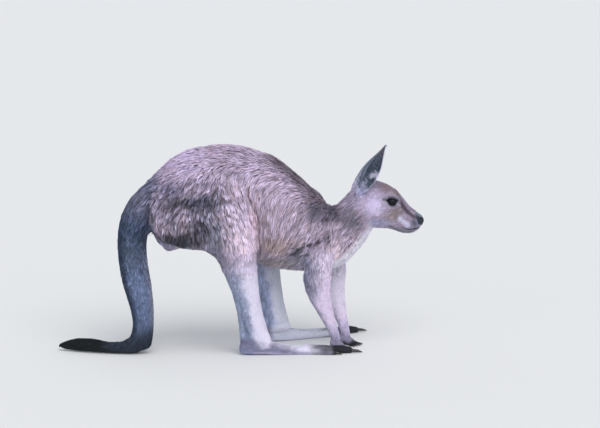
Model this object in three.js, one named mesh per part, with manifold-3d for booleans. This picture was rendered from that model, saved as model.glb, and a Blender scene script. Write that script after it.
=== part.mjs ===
// An eastern grey kangaroo at life size, standing on its hind feet, forepaws and tail.
// Millimetres, +X towards the nose, +Y to the animal's left, +Z up. The floor is at z = 0.
// The surface is the outline of the coat, out to the tips of the fur.
import * as THREE from "three";
import { mergeVertices } from "three/addons/utils/BufferGeometryUtils.js";
import Module from "manifold-3d";

const wasm = await Module();
wasm.setup();

// ---- Driving dimensions ----
const GAP = 0.35; // clearance between neighbouring parts
const STRIDE = { right: 0, left: 72 }; // how far each hind foot is set forward
const TOE_OUT = { right: 1, left: 19 }; // degrees that each hind foot turns outwards
const HEEL_OUT = { right: 83, left: 66 }; // each hind heel to the middle plane
const REACH = { right: 0, left: 36 }; // how far each forepaw is set forward
const PAW_TURN = { right: 8, left: -35 }; // degrees that each forepaw turns outwards
const WRIST_OUT = { right: 48, left: 18 }; // each wrist to the middle plane
const EYE_RADIUS = 13;
const EYE_CENTRE = [429, 33.5, 424];
const EAR_LENGTH = 149;
const EAR_ROOT = 10; // how much of the ear is sunk in the head
const EAR_WALL = 4.4; // thickness at the base, and half of it at the tip
const EAR_LEVELS = 7;
const EAR_PANELS = 5;
const EAR_BASE = [345, 31, 469];
const EAR_LEAN = { right: 27, left: 38.5 }; // degrees forward from upright
const EAR_SPLAY = { right: 12, left: 14 }; // degrees outward from upright
const EAR_TURN = { right: 80, left: 22 }; // degrees that the opening faces outward from forward
const SIDES = ["right", "left"];
const sign = { right: -1, left: 1 };

// ---- Colours ----
const COAT = 0xa2969c;
const PALE_COAT = 0xd2cbd2;
const DARK_COAT = 0x3a3b42;
const TAIL_COAT = 0x6d7280;
const HORN = 0x1e1c1c;
const NOSE_SKIN = 0x2a2a2e;
const EYE = 0x140d09;

// ---- Geometry helpers ----
const rad = THREE.MathUtils.degToRad;

// A closed three.js geometry as a manifold solid.
function solid(geometry) {
  const bare = geometry.clone();
  bare.deleteAttribute("normal");
  bare.deleteAttribute("uv");
  const merged = mergeVertices(bare, 1e-3);
  return new wasm.Manifold(
    new wasm.Mesh({
      numProp: 3,
      vertProperties: merged.attributes.position.array,
      triVerts: new Uint32Array(merged.index.array),
    }),
  );
}

// A manifold solid as a flat-shaded three.js geometry.
function geometryOf(piece) {
  const mesh = piece.getMesh();
  const points = new Float32Array(mesh.numVert * 3);
  for (let i = 0; i < mesh.numVert; i++) {
    const at = i * mesh.numProp;
    points.set(mesh.vertProperties.subarray(at, at + 3), i * 3);
  }
  const geometry = new THREE.BufferGeometry();
  geometry.setAttribute("position", new THREE.BufferAttribute(points, 3));
  geometry.setIndex(new THREE.BufferAttribute(mesh.triVerts, 1));
  geometry.computeVertexNormals();
  return geometry;
}

const mirrorY = ([x, y, z], side) => [x, sign[side] * y, z];
const joined = (pieces) => pieces.reduce((all, piece) => all.add(piece));
const largest = (piece) =>
  piece.decompose().sort((a, b) => b.volume() - a.volume())[0];

// A cross-section: its upper and lower points in the XZ plane, its half width, the y of its
// middle, how much wider it is above than below, and how square it is (2 is an ellipse).
const section = (upper, lower, half, y = 0, taper = 0, square = 2) => [
  ...upper,
  ...lower,
  half,
  y,
  taper,
  square,
];

// One ring of points round a cross-section, grown outwards by grow.
function ringOf(row, sides, grow) {
  const [ux, uz, lx, lz, half, y, taper, square] = row;
  const upper = new THREE.Vector3(ux, y, uz);
  const lower = new THREE.Vector3(lx, y, lz);
  const centre = upper.clone().add(lower).multiplyScalar(0.5);
  const depth = upper.sub(lower).multiplyScalar(0.5);
  depth.setLength(depth.length() + grow);
  const round = (v) => Math.sign(v) * Math.abs(v) ** (2 / square);
  const points = Array.from({ length: sides }, (_, k) => {
    const angle = (2 * Math.PI * k) / sides;
    const across = (half + grow) * round(Math.cos(angle));
    const along = round(Math.sin(angle));
    const point = centre.clone().addScaledVector(depth, along);
    point.y += across * (1 + taper * along);
    return point;
  });
  return { centre, points };
}

// The rings and the tip of a dome of the given length, beyond the end ring of a loft.
function domeOn(ring, inner, length) {
  const out = ring.centre.clone().sub(inner.centre).normalize();
  const levels = length > 8 ? 2 : length > 1.5 ? 1 : 0;
  const rings = Array.from({ length: levels }, (_, k) => {
    const angle = ((k + 1) / (levels + 1)) * (Math.PI / 2);
    const shift = out.clone().multiplyScalar(length * Math.sin(angle));
    return ring.points.map((p) =>
      p.clone().sub(ring.centre).multiplyScalar(Math.cos(angle)).add(ring.centre).add(shift),
    );
  });
  return { rings, tip: ring.centre.clone().addScaledVector(out, length) };
}

// A solid through cross-sections, with a dome of the given length on each end.
function loft(rows, { sides, domes = [1, 1], grow = 0 }) {
  const rings = rows.map((row) => ringOf(row, sides, grow));
  const last = rings.length - 1;
  const start = domeOn(rings[0], rings[1], domes[0] + grow);
  const end = domeOn(rings[last], rings[last - 1], domes[1] + grow);
  const all = [...start.rings.reverse(), ...rings.map((ring) => ring.points), ...end.rings];
  const points = [...all.flat(), start.tip, end.tip];
  const startTip = all.length * sides;
  const top = (all.length - 1) * sides;
  const faces = [];
  for (let k = 0; k < sides; k++) {
    const next = (k + 1) % sides;
    faces.push(startTip, next, k, startTip + 1, top + k, top + next);
    for (let low = 0; low < top; low += sides) {
      const high = low + sides;
      faces.push(low + k, low + next, high + k, low + next, high + next, high + k);
    }
  }
  return closed(points, faces);
}

// Points and triangles as a solid whose faces point outwards.
function closed(points, faces) {
  const geometry = new THREE.BufferGeometry().setFromPoints(points);
  geometry.setIndex(faces);
  const made = solid(geometry);
  if (made.volume() >= 0) return made;
  geometry.setIndex(faces.slice().reverse());
  return solid(geometry);
}

// An ellipsoid at a place, with its radii grown by grow.
function ellipsoid(centre, radii, grow = 0) {
  const geometry = new THREE.SphereGeometry(1, 12, 6);
  geometry.scale(radii[0] + grow, radii[1] + grow, radii[2] + grow);
  geometry.translate(...centre);
  return solid(geometry);
}

// All that lies on the side of a plane to which its normal points, moved back by grow.
function beyond(point, normal, grow = 0) {
  const reach = 3000;
  const geometry = new THREE.BoxGeometry(reach, reach, reach);
  geometry.translate(0, 0, reach / 2 - grow);
  const turn = new THREE.Quaternion().setFromUnitVectors(
    new THREE.Vector3(0, 0, 1),
    new THREE.Vector3(...normal).normalize(),
  );
  geometry.applyQuaternion(turn);
  geometry.translate(...point);
  return solid(geometry);
}

// ---- Trunk, neck, head and tail: sections from back to front ----
const TRUNK = [
  section([-236, 515], [-236, 310], 62),
  section([-205, 549], [-210, 284], 89, 0, 0.14),
  section([-155, 578], [-172, 297], 106, 0, 0.08),
  section([-95, 590], [-110, 316], 114, 0, 0.03),
  section([-35, 594], [-45, 304], 116),
  section([25, 583.5], [15, 266], 115, 0, -0.04),
  section([82, 560], [75, 236], 113, 0, -0.07),
  section([135, 527], [130, 226], 104, 0, -0.06),
  section([184, 485], [175, 222], 93, 0, -0.04),
  section([224, 443], [218, 222], 82, 0, -0.02),
  section([250, 412], [262, 226], 72),
];
const NECK = [
  section([236, 408], [262, 228], 66),
  section([262, 404], [298, 240], 62, 0, -0.02),
  section([280, 418], [325, 266], 54, 0, -0.04),
  section([299, 436], [347, 289], 48, 0, -0.04),
  section([318, 458], [364, 316], 45, 0, -0.02),
  section([336, 470], [378, 338], 43),
];
const HEAD = [
  section([361, 481], [384, 344], 45, 0, -0.06, 2.1),
  section([390, 484], [405, 343], 48, 0, -0.1, 2.2),
  section([423, 470], [425, 342], 46, 0, -0.08, 2.2),
  section([447, 455], [444, 336], 40, 0, -0.02, 2.2),
  section([467, 431], [459, 330], 32, 0, 0, 2.3),
  section([484, 409], [473, 327], 26.5, 0, 0.03, 2.4),
  section([500, 395], [487, 327], 23, 0, 0.02, 2.4),
  section([513, 387], [500, 330], 20.5, 0, 0, 2.3),
  section([523, 378], [512, 339], 17, 0, 0, 2.2),
  section([528, 368], [521, 348], 11.5),
];
const TAIL = [
  section([-214, 535], [-222, 352], 62, 0),
  section([-256, 500], [-248, 346], 62, 0),
  section([-292, 467], [-259, 343], 58, -2),
  section([-323, 433], [-265, 334], 53, -4),
  section([-345, 382], [-268, 316], 48, -8),
  section([-353, 322], [-268, 286], 43.5, -13),
  section([-350, 256], [-264, 244], 41, -19),
  section([-338, 192], [-255, 192], 38, -25),
  section([-320, 134], [-251, 136], 34, -30),
  section([-311, 86], [-251, 80], 30, -34),
  section([-320, 48], [-258, 20], 27.5, -36),
  section([-345, 34], [-300, -3], 25.5, -33),
  section([-380, 32], [-360, -3], 23.5, -24),
  section([-425, 40], [-422, -2], 21.5, -8),
  section([-470, 39], [-472, -1], 17, 8),
  section([-503, 29], [-505, 2], 11.5, 19),
  section([-518, 21], [-519, 7], 6.5, 24),
];

// ---- Limbs, on the right side: sections from the body outwards, front and back points ----
const LEG = [
  section([-78, 556], [-178, 546], 27, 50),
  section([-22, 513], [-238, 503], 41, 70),
  section([8, 455], [-266, 436], 49, 84),
  section([23, 400], [-268, 380], 52, 91),
  section([31, 352], [-236, 330], 49, 95),
  section([35, 326], [-172, 312], 45, 97),
  section([37, 303], [-116, 309], 41, 97),
  section([38, 272], [-80, 284], 37, 96),
  section([40, 230], [-56, 235], 33, 94),
  section([45, 175], [-34, 182], 29, 91),
  section([54, 122], [-20, 128], 26, 87),
  section([67, 76], [-13, 78], 25, HEEL_OUT.right),
  section([80, 42], [-11, 36], 24, HEEL_OUT.right),
];
const ARM = [
  section([246, 352], [172, 350], 24, 44),
  section([256, 305], [174, 300], 31, 56),
  section([257, 258], [175, 256], 32, 63),
  section([254, 214], [169, 212], 28.5, 64),
  section([251, 176], [178, 175], 25, 62),
  section([254, 145], [191, 146], 22, 58),
  section([260, 114], [209, 117], 19, 56),
  section([268, 84], [226, 88], 16.5, 53),
  section([276, 55], [243, 60], 14.5, 50),
  section([282, 28], [257, 30], 13, WRIST_OUT.right),
];

// Moves a limb's sections to their side, forward by step(height) and out by spread(height).
function limbOf(rows, side, step, spread) {
  return rows.map((row) => {
    const [ux, uz, lx, lz, half, y, ...rest] = row;
    const height = (uz + lz) / 2;
    const ahead = step(height);
    return [ux + ahead, uz, lx + ahead, lz, half, sign[side] * (y + spread(height)), ...rest];
  });
}

// 1 below a low height and 0 above a high one.
const fade = (z, low, high) => 1 - THREE.MathUtils.smoothstep(z, low, high);
// A stride moves the foot and the knee, and fades out between the knee and the hip.
const legSections = (side) =>
  limbOf(
    LEG,
    side,
    (z) => STRIDE[side] * (1.1 - 0.1 * fade(z, 0, 220)) * fade(z, 250, 520),
    (z) => (HEEL_OUT[side] - HEEL_OUT.right) * fade(z, 0, 240),
  );
// A reach moves the elbow most, and the shoulder less than the paw.
const armSections = (side) =>
  limbOf(
    ARM,
    side,
    (z) => REACH[side] * (0.65 + fade(z, 210, 350) - 0.65 * fade(z, 20, 210)),
    (z) => (WRIST_OUT[side] - WRIST_OUT.right) * fade(z, 0, 230),
  );

// ---- Hind foot, in its own frame: x from the heel, y outwards from its middle ----
const FOOT = [
  section([6, 38], [6, 2], 17),
  section([24, 56], [24, -2], 22),
  section([58, 56], [58, -3], 24),
  section([96, 33], [96, -3], 23.5, 0, 0, 2.5),
  section([150, 25], [150, -3], 22, 0, 0, 2.5),
  section([205, 24], [205, -3], 24, 0, 0, 2.5),
  section([240, 22.5], [240, -3], 25, 0, 0, 2.4),
  section([262, 20], [262, -2], 19),
];
// Each toe: its root, its tip, half its width, its height and its claw's length.
const TOES = {
  fourth: { root: [228, 3], tip: [318, 5], half: 12.5, tall: 22.5, claw: 33 },
  fifth: { root: [212, 18], tip: [272, 27], half: 8, tall: 17, claw: 18 },
  third: { root: [212, -16], tip: [258, -20], half: 5, tall: 13, claw: 12 },
  second: { root: [212, -22], tip: [254, -29], half: 4.6, tall: 12, claw: 12 },
};

// ---- Forepaw, in its own frame: x forward from the wrist, y outwards ----
const PALM = [
  section([-12, 34], [-14, 6], 12),
  section([2, 30], [0, -3], 14),
  section([15, 22], [15, -3], 17),
  section([25, 16], [26, -2], 15.5),
];
const FINGERS = 5;
const FINGER = { length: 18, half: 4, tall: 10, claw: 14, fan: 15 };

// A digit along its own ground line from root to tip, and the claw on its end.
function digit({ root, tip, half, tall }, sides, grow) {
  const [[x0, y0], [x1, y1]] = [root, tip];
  const at = (f, top, width) => {
    const x = x0 + (x1 - x0) * f;
    return section([x, top], [x, -2], width, y0 + (y1 - y0) * f, 0, 2.3);
  };
  const rows = [
    at(0, tall, half * 0.9),
    at(0.7, tall, half),
    at(1, tall * 0.72, half * 0.8),
  ];
  return loft(rows, { sides, domes: [1, half * 0.35], grow });
}

function claw({ root, tip, half, tall, claw: length }) {
  const away = new THREE.Vector2(tip[0] - root[0], tip[1] - root[1]).normalize();
  const at = (f, top, bottom, width) => {
    const x = tip[0] + away.x * length * f;
    return section([x, tall * top], [x, tall * bottom], half * width, tip[1] + away.y * length * f);
  };
  const rows = [
    at(-0.15, 0.58, 0.08, 0.5),
    at(0.55, 0.5, 0.08, 0.42),
    at(1, 0.15, 0.04, 0.12),
  ];
  return loft(rows, { sides: 5, domes: [1, 0.8] });
}

function fingerAt(i) {
  const angle = rad((i - (FINGERS - 1) / 2) * FINGER.fan);
  const [root, tip] = [13, 13 + FINGER.length].map((r) => [
    r * Math.cos(angle) + 5,
    (r + 8) * Math.sin(angle),
  ]);
  return { ...FINGER, root, tip };
}

const turned = (piece, side, degrees, at) =>
  piece
    .transform(new THREE.Matrix4().makeScale(1, sign[side], 1).elements)
    .rotate([0, 0, sign[side] * degrees])
    .translate(at);
const footAt = (side) => [STRIDE[side] - 12, sign[side] * HEEL_OUT[side], 0];
const onFoot = (piece, side) => turned(piece, side, TOE_OUT[side], footAt(side));
const pawAt = (side) => [268 + REACH[side], sign[side] * WRIST_OUT[side], 0];
const onWrist = (piece, side) => turned(piece, side, PAW_TURN[side], pawAt(side));

// ---- The trunk with the neck, head and tail, and each limb, all grown outwards by grow ----
function body(grow) {
  return joined([
    loft(TRUNK, { sides: 16, domes: [24, 12], grow }),
    loft(NECK, { sides: 16, domes: [10, 8], grow }),
    loft(HEAD, { sides: 16, domes: [26, 3], grow }),
    loft(TAIL, { sides: 12, domes: [10, 6], grow }),
  ]);
}

function leg(side, grow) {
  const toes = Object.values(TOES).map((toe) => digit(toe, toe.half > 10 ? 8 : 6, grow));
  const foot = loft(FOOT, { sides: 8, domes: [7, 5], grow });
  const limb = loft(legSections(side), { sides: 12, domes: [10, 8], grow });
  return joined([limb, onFoot(joined([foot, ...toes]), side)]);
}

function arm(side, grow) {
  const fingers = Array.from({ length: FINGERS }, (_, i) => digit(fingerAt(i), 5, grow));
  const palm = loft(PALM, { sides: 8, domes: [4, 3], grow });
  const limb = loft(armSections(side), { sides: 10, domes: [12, 5], grow });
  return joined([limb, onWrist(joined([palm, ...fingers]), side)]);
}

// ---- Ears: a leaf rolled round its own axis, closed at the base and opening towards the tip ----
const leafSwell = (f) => Math.max(Math.sin(Math.PI * (0.2 + 0.8 * f)), 0) ** 1.25;
const leafRadius = (f) => 2.6 + 22.5 * leafSwell(f) * (1 - 0.18 * f);
const leafRoll = (f) => rad(140 - 58 * f); // half the angle that the wall goes round
const leafBend = (f) => 4 * Math.sin(Math.PI * f); // how far the axis bows towards the opening

// One level of the leaf: its outer wall from edge to edge, then its inner wall back again.
function leafLevel(f) {
  const wall = (radius, way) =>
    Array.from({ length: EAR_PANELS + 1 }, (_, k) => {
      const angle = Math.PI + way * (-1 + (2 * k) / EAR_PANELS) * leafRoll(f);
      return new THREE.Vector3(
        radius * Math.cos(angle) + leafBend(f),
        radius * Math.sin(angle),
        EAR_LENGTH * f - EAR_ROOT,
      );
    });
  const radius = leafRadius(f);
  return [...wall(radius, 1), ...wall(radius - EAR_WALL * (1 - 0.5 * f), -1)];
}

function ear(side) {
  const levels = Array.from({ length: EAR_LEVELS + 1 }, (_, i) => leafLevel(i / EAR_LEVELS));
  const sides = levels[0].length;
  const faces = [];
  for (let k = 0; k < sides; k++) {
    const next = (k + 1) % sides;
    for (let low = 0; low < EAR_LEVELS * sides; low += sides) {
      const high = low + sides;
      faces.push(low + k, low + next, high + k, low + next, high + next, high + k);
    }
  }
  const top = EAR_LEVELS * sides;
  for (let k = 0; k < EAR_PANELS; k++) {
    const [a, b, c, d] = [k, k + 1, sides - 1 - k, sides - 2 - k];
    faces.push(a, c, b, b, c, d);
    faces.push(top + a, top + b, top + c, top + b, top + d, top + c);
  }
  return closed(levels.flat(), faces)
    .rotate([0, 0, -EAR_TURN[side]])
    .transform(new THREE.Matrix4().makeScale(1, -sign[side], 1).elements)
    .rotate([-sign[side] * EAR_SPLAY[side], EAR_LEAN[side], 0])
    .translate(mirrorY(EAR_BASE, side));
}

// ---- Parting the body into its nodes ----
const nodes = [];
const node = (name, piece, color, roughness = 0.9) =>
  nodes.push({ name, piece: largest(piece), color, roughness });

const ground = beyond([0, 0, 0], [0, 0, -1]);

// Divides a piece at planes, from its near end outwards, with a thin gap at each.
function divide(piece, cuts, names, colours) {
  let left = piece;
  names.forEach((name, i) => {
    const cut = cuts[i];
    const part = cut ? left.subtract(beyond(...cut, GAP)) : left;
    if (cut) left = left.intersect(beyond(...cut));
    node(name, part, colours[i]);
  });
}

let rest = body(0).subtract(ground);
const grownBody = body(GAP);
for (const side of SIDES) {
  const grownArm = arm(side, GAP);
  const grownLeg = leg(side, GAP);
  rest = rest.subtract(grownArm).subtract(grownLeg);

  const [footX, footY] = footAt(side);
  const knee = [-20 + STRIDE[side], sign[side] * 96, 262];
  const ankle = [footX + 48, footY, 62];
  divide(
    leg(side, 0).subtract(ground),
    [
      [knee, [0.1, 0, -1]],
      [ankle, [0.35, 0, -1]],
    ],
    [`thigh_${side}`, `shin_${side}`, `hind_foot_${side}`],
    [COAT, PALE_COAT, PALE_COAT],
  );
  for (const [name, toe] of Object.entries(TOES)) {
    const nail = onFoot(claw(toe), side).subtract(grownLeg).subtract(ground);
    node(`hind_claw_${name}_${side}`, nail, HORN, 0.4);
  }

  const elbow = [212 + REACH[side] * 1.3, sign[side] * 62, 190];
  const wrist = [pawAt(side)[0] + 2, pawAt(side)[1], 34];
  divide(
    arm(side, 0).subtract(ground),
    [
      [elbow, [0.25, 0, -1]],
      [wrist, [0.2, 0, -1]],
    ],
    [`upper_arm_${side}`, `forearm_${side}`, `forepaw_${side}`],
    [COAT, PALE_COAT, DARK_COAT],
  );
  for (let i = 0; i < FINGERS; i++) {
    const nail = onWrist(claw(fingerAt(i)), side).subtract(grownArm).subtract(ground);
    node(`fore_claw_${i + 1}_${side}`, nail, HORN, 0.4);
  }

  const eye = mirrorY(EYE_CENTRE, side);
  const ball = [EYE_RADIUS, EYE_RADIUS, EYE_RADIUS];
  rest = rest.subtract(ellipsoid(eye, ball, GAP));
  node(`eye_${side}`, ellipsoid(eye, ball), EYE, 0.1);
  node(`ear_${side}`, ear(side).subtract(grownBody), COAT);
}

// Takes the part of the body inside a region off it, leaving a thin gap.
function takeOff(region) {
  const piece = rest.intersect(region(0));
  rest = rest.subtract(region(GAP));
  return piece;
}

node("nose", takeOff((grow) => ellipsoid([527, 0, 374], [15, 16, 14], grow)), NOSE_SKIN, 0.4);
node("head", takeOff((grow) => beyond([347, 0, 402], [0.93, 0, 0.37], grow)), COAT);
node("neck", takeOff((grow) => beyond([281, 0, 321], [0.97, 0, 0.22], grow)), COAT);
divide(
  takeOff((grow) => beyond([-252, 0, 423], [-1, 0, -0.12], grow)),
  [
    [[-306, 0, 300], [0.1, 0, -1]],
    [[-290, 0, 165], [-0.05, 0, -1]],
    [[-290, 0, 52], [-0.72, 0, -0.7]],
  ],
  ["tail_root", "tail_middle", "tail_lower", "tail_end"],
  [TAIL_COAT, TAIL_COAT, TAIL_COAT, DARK_COAT],
);
divide(
  rest,
  [
    [[-92, 0, 430], [1, 0, 0]],
    [[108, 0, 390], [1, 0, 0.1]],
  ],
  ["rump", "belly", "chest"],
  [COAT, COAT, COAT],
);

// ---- The model, with the middle of its footprint at the origin ----
const kangaroo = new THREE.Group();
for (const { name, piece, color, roughness } of nodes) {
  const material = new THREE.MeshStandardMaterial({ color, roughness, metalness: 0 });
  const mesh = new THREE.Mesh(geometryOf(piece), material);
  mesh.name = name;
  kangaroo.add(mesh);
}
const extent = new THREE.Box3().setFromObject(kangaroo);
const middle = extent.getCenter(new THREE.Vector3());
for (const mesh of kangaroo.children) {
  mesh.position.set(-middle.x, -middle.y, -extent.min.z);
}

export default kangaroo;
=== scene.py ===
import math

import bmesh
import bpy
import numpy as np
from mathutils import Euler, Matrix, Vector
from mathutils.bvhtree import BVHTree
from mathutils.kdtree import KDTree


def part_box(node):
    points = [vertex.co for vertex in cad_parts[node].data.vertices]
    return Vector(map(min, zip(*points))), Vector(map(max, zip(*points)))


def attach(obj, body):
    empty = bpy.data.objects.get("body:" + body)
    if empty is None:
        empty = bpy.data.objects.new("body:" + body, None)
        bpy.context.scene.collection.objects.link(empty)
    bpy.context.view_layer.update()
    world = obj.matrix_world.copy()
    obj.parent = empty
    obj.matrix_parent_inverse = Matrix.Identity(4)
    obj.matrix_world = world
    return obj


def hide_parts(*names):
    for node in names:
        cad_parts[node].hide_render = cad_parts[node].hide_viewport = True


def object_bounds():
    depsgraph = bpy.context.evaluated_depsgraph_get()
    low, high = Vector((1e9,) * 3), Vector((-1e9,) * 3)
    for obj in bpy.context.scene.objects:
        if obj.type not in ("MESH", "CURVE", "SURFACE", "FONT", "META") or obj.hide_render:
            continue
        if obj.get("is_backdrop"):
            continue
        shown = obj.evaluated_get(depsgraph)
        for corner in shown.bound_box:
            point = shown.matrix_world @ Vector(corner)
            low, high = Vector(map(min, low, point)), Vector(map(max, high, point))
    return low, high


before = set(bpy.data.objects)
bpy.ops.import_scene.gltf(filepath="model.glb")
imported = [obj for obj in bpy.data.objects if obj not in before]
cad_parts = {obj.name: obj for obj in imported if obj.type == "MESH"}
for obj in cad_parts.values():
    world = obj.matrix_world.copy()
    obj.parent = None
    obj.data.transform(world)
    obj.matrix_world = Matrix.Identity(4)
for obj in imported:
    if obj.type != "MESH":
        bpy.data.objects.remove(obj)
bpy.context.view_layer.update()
bpy.ops.object.select_all(action="DESELECT")

# ---- The animal's own frame: millimetres, middle plane at y = 0, x from back to nose ----
EYE_CENTRE = np.array([429.0, 33.5, 424.0])
EYE_RADIUS = 13.0
SIDES = {"right": -1, "left": 1}
STRIDE = 72.0  # how far the left hind foot is ahead of the right one
REACH = 36.0  # how far the left forepaw is ahead of the right one
SKIN_CLEARANCE = 0.3  # the least height of the skin over the floor
TUFT_CLEARANCE = 0.35  # the least height of a tuft over the floor


def node_middle(node):
    """The middle of a frame node's box, in metres of the row frame."""
    low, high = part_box(node)
    return (low + high) / 2


eye_right = node_middle("eye_right")
eye_left = node_middle("eye_left")
ORIGIN = np.array([
    eye_right.x * 1000 - EYE_CENTRE[0],
    (eye_right.y + eye_left.y) * 500,
    0.0,
])


def to_frame(points):
    """Points of the animal's own frame as metres of the row frame."""
    return (np.asarray(points, float) + ORIGIN) / 1000


def to_animal(points):
    """Points in metres of the row frame as points of the animal's own frame."""
    return np.asarray(points, float) * 1000 - ORIGIN


# ---- Small mathematics ----
def unit(vectors):
    """The same directions with a length of 1."""
    size = np.linalg.norm(vectors, axis=-1, keepdims=True)
    return vectors / np.maximum(size, 1e-9)


def smooth(value, low, high):
    """0 below low and 1 above high, with a smooth rise between them."""
    t = np.clip((np.asarray(value, float) - low) / (high - low), 0, 1)
    return t * t * (3 - 2 * t)


def mix(a, b, share):
    """a at a share of 0 and b at a share of 1."""
    share = np.asarray(share, float)
    if np.ndim(a) == 2 and share.ndim == 1:
        share = share[:, None]
    return a + (b - a) * share


def folded(points):
    """Places with the right side laid on the left one, so that y is the way outwards."""
    return points * [1, 0, 1] + np.abs(points * [0, 1, 0])


def side_of(points):
    """-1 on the right side of the animal and 1 on its left side."""
    return np.where(points[:, 1] < 0, -1.0, 1.0)


def eye_distance(x, z):
    """How far a place is from the middle of the eye, as seen from the side."""
    return np.hypot(x - EYE_CENTRE[0], z - EYE_CENTRE[2])


def blob(points, centre, radii):
    """1 at a centre and 0 past about its radii, the same on both sides of the animal."""
    away = (folded(points) - centre) / radii
    return np.exp(-1.6 * (away ** 2).sum(axis=1) ** 1.3)


def ripple(points, size, seed):
    """Smooth noise from about -1 to 1, with bumps about that size."""
    draw = np.random.default_rng(seed)
    total = np.zeros(len(points))
    for _ in range(14):
        way = unit(draw.normal(size=3)) * draw.uniform(0.6, 1.5) * 2 * math.pi / size
        total += np.sin(points @ way + draw.uniform(0, 2 * math.pi))
    return total / 3.7


def srgb(red, green, blue):
    """A colour written as 0 to 255, as linear values."""
    c = np.array([red, green, blue]) / 255
    return np.where(c <= 0.04045, c / 12.92, ((c + 0.055) / 1.055) ** 2.4)


# ---- Mesh helpers ----
def points_of(mesh):
    """A mesh's vertices in the animal's own frame."""
    flat = np.empty(len(mesh.vertices) * 3, np.float32)
    mesh.vertices.foreach_get("co", flat)
    return to_animal(flat.reshape(-1, 3))


def set_points(mesh, points):
    """Moves a mesh's vertices to places of the animal's own frame."""
    mesh.vertices.foreach_set("co", to_frame(points).astype(np.float32).ravel())
    mesh.update()


def normals_of(mesh):
    """The way outwards at each vertex."""
    flat = np.empty(len(mesh.vertices) * 3, np.float32)
    mesh.vertex_normals.foreach_get("vector", flat)
    return flat.reshape(-1, 3).astype(float)


def edges_of(mesh):
    """The two vertices of each edge."""
    flat = np.empty(len(mesh.edges) * 2, np.int32)
    mesh.edges.foreach_get("vertices", flat)
    return flat.reshape(-1, 2)


def spread_out(values, edges, turns, share=0.5):
    """Relaxes a value or a place of each vertex towards its neighbours, as a smooth brush does."""
    values = np.array(values, float)
    count = len(values)
    flat = values.reshape(count, -1)
    share = np.broadcast_to(np.asarray(share, float), (count,))[:, None]
    a, b = edges[:, 0], edges[:, 1]
    degree = np.bincount(a, minlength=count) + np.bincount(b, minlength=count)
    degree = np.maximum(degree, 1)[:, None]
    for _ in range(turns):
        total = np.stack([
            np.bincount(a, flat[b, k], count) + np.bincount(b, flat[a, k], count)
            for k in range(flat.shape[1])
        ], axis=1)
        flat = flat + (total / degree - flat) * share
    return flat.reshape(values.shape)


def relaxed(piece, facets, links, turns, share, bulk_turns):
    """Relaxes a piece's facets and gives the bulk that this takes off back along the normals."""
    place = spread_out(facets, links, turns, share)
    set_points(piece.data, place)
    outward = normals_of(piece.data)
    lost = spread_out(((facets - place) * outward).sum(axis=1), links, bulk_turns)
    return place + outward * lost[:, None]


def put_in_scene(name, mesh):
    """A new piece with its own mesh."""
    piece = bpy.data.objects.new(name, mesh)
    bpy.context.scene.collection.objects.link(piece)
    return piece


def make_active(piece):
    """Selects one piece and nothing else."""
    bpy.ops.object.select_all(action="DESELECT")
    piece.select_set(True)
    bpy.context.view_layer.objects.active = piece


def apply_modifier(piece, kind, **values):
    """Puts one modifier on a piece and applies it."""
    make_active(piece)
    modifier = piece.modifiers.new(kind.lower(), kind)
    for key, value in values.items():
        setattr(modifier, key, value)
    bpy.ops.object.modifier_apply(modifier=modifier.name)


def merged_copy(node, name):
    """A copy of a frame node with its loose triangles joined."""
    piece = put_in_scene(name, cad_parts[node].data.copy())
    piece.data.materials.clear()
    make_active(piece)
    bpy.ops.object.mode_set(mode="EDIT")
    bpy.ops.mesh.select_all(action="SELECT")
    bpy.ops.mesh.remove_doubles(threshold=2e-5)
    bpy.ops.object.mode_set(mode="OBJECT")
    return piece


# ---- How the coat and the flesh differ from part to part ----
# The columns: coat depth over the skin, tuft length, tuft width, tuft spacing (all mm),
# clumping from 0 to 1, and how far the skin's facets are relaxed (mm).
DEPTH, LENGTH, WIDTH, SPACING, CLUMPING, RELAXED = range(6)
COAT = {
    "rump": (9.0, 35, 2.5, 3.3, 0.7, 16),
    "belly": (9.5, 36, 2.2, 3.2, 0.5, 15),
    "chest": (8.5, 33, 2.1, 3.2, 0.48, 14),
    "neck": (6.5, 25, 2.0, 3.0, 0.55, 9),
    "head": (1.7, 8, 1.1, 2.0, 0.35, 4.5),
    "nose": (0.6, 4, 0.8, 2.6, 0.2, 2.5),
    "thigh": (7.5, 33, 2.3, 3.3, 0.7, 9),
    "shin": (1.9, 11, 1.5, 2.8, 0.3, 5),
    "hind_foot": (1.1, 7, 1.3, 2.9, 0.2, 2.6),
    "tail_root": (5.0, 22, 2.2, 3.5, 0.58, 16),
    "tail_middle": (3.2, 16, 2.0, 3.6, 0.5, 16),
    "tail_lower": (2.6, 14, 1.8, 3.6, 0.3, 12),
    "tail_end": (3.2, 17, 1.9, 3.5, 0.3, 7),
    "upper_arm": (4.2, 18, 1.9, 3.1, 0.5, 6),
    "forearm": (1.8, 10, 1.4, 2.8, 0.3, 4),
    "forepaw": (0.9, 5, 1.0, 2.6, 0.1, 1.6),
    "ear": (0.8, 6, 1.0, 2.3, 0.1, 1.0),
}
PARTS = list(COAT)
COAT_TABLE = np.array([COAT[part] for part in PARTS], float)
LEG_PARTS = ("thigh", "shin", "hind_foot")
ARM_PARTS = ("upper_arm", "forearm", "forepaw")
TAIL_PARTS = ("tail_root", "tail_middle", "tail_lower", "tail_end")


def part_of(node):
    """A node's name without its side."""
    return node.replace("_right", "").replace("_left", "")


def is_part(parts, *names):
    """Where the parts, given as indices of PARTS, are among the names."""
    return np.isin(parts, [PARTS.index(name) for name in names])


def limb_shares(parts, links, turns=20):
    """How far each vertex belongs to a leg and to an arm, softened over the skin."""
    both = np.stack([is_part(parts, *LEG_PARTS), is_part(parts, *ARM_PARTS)], axis=1)
    return spread_out(both.astype(float), links, turns)


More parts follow.
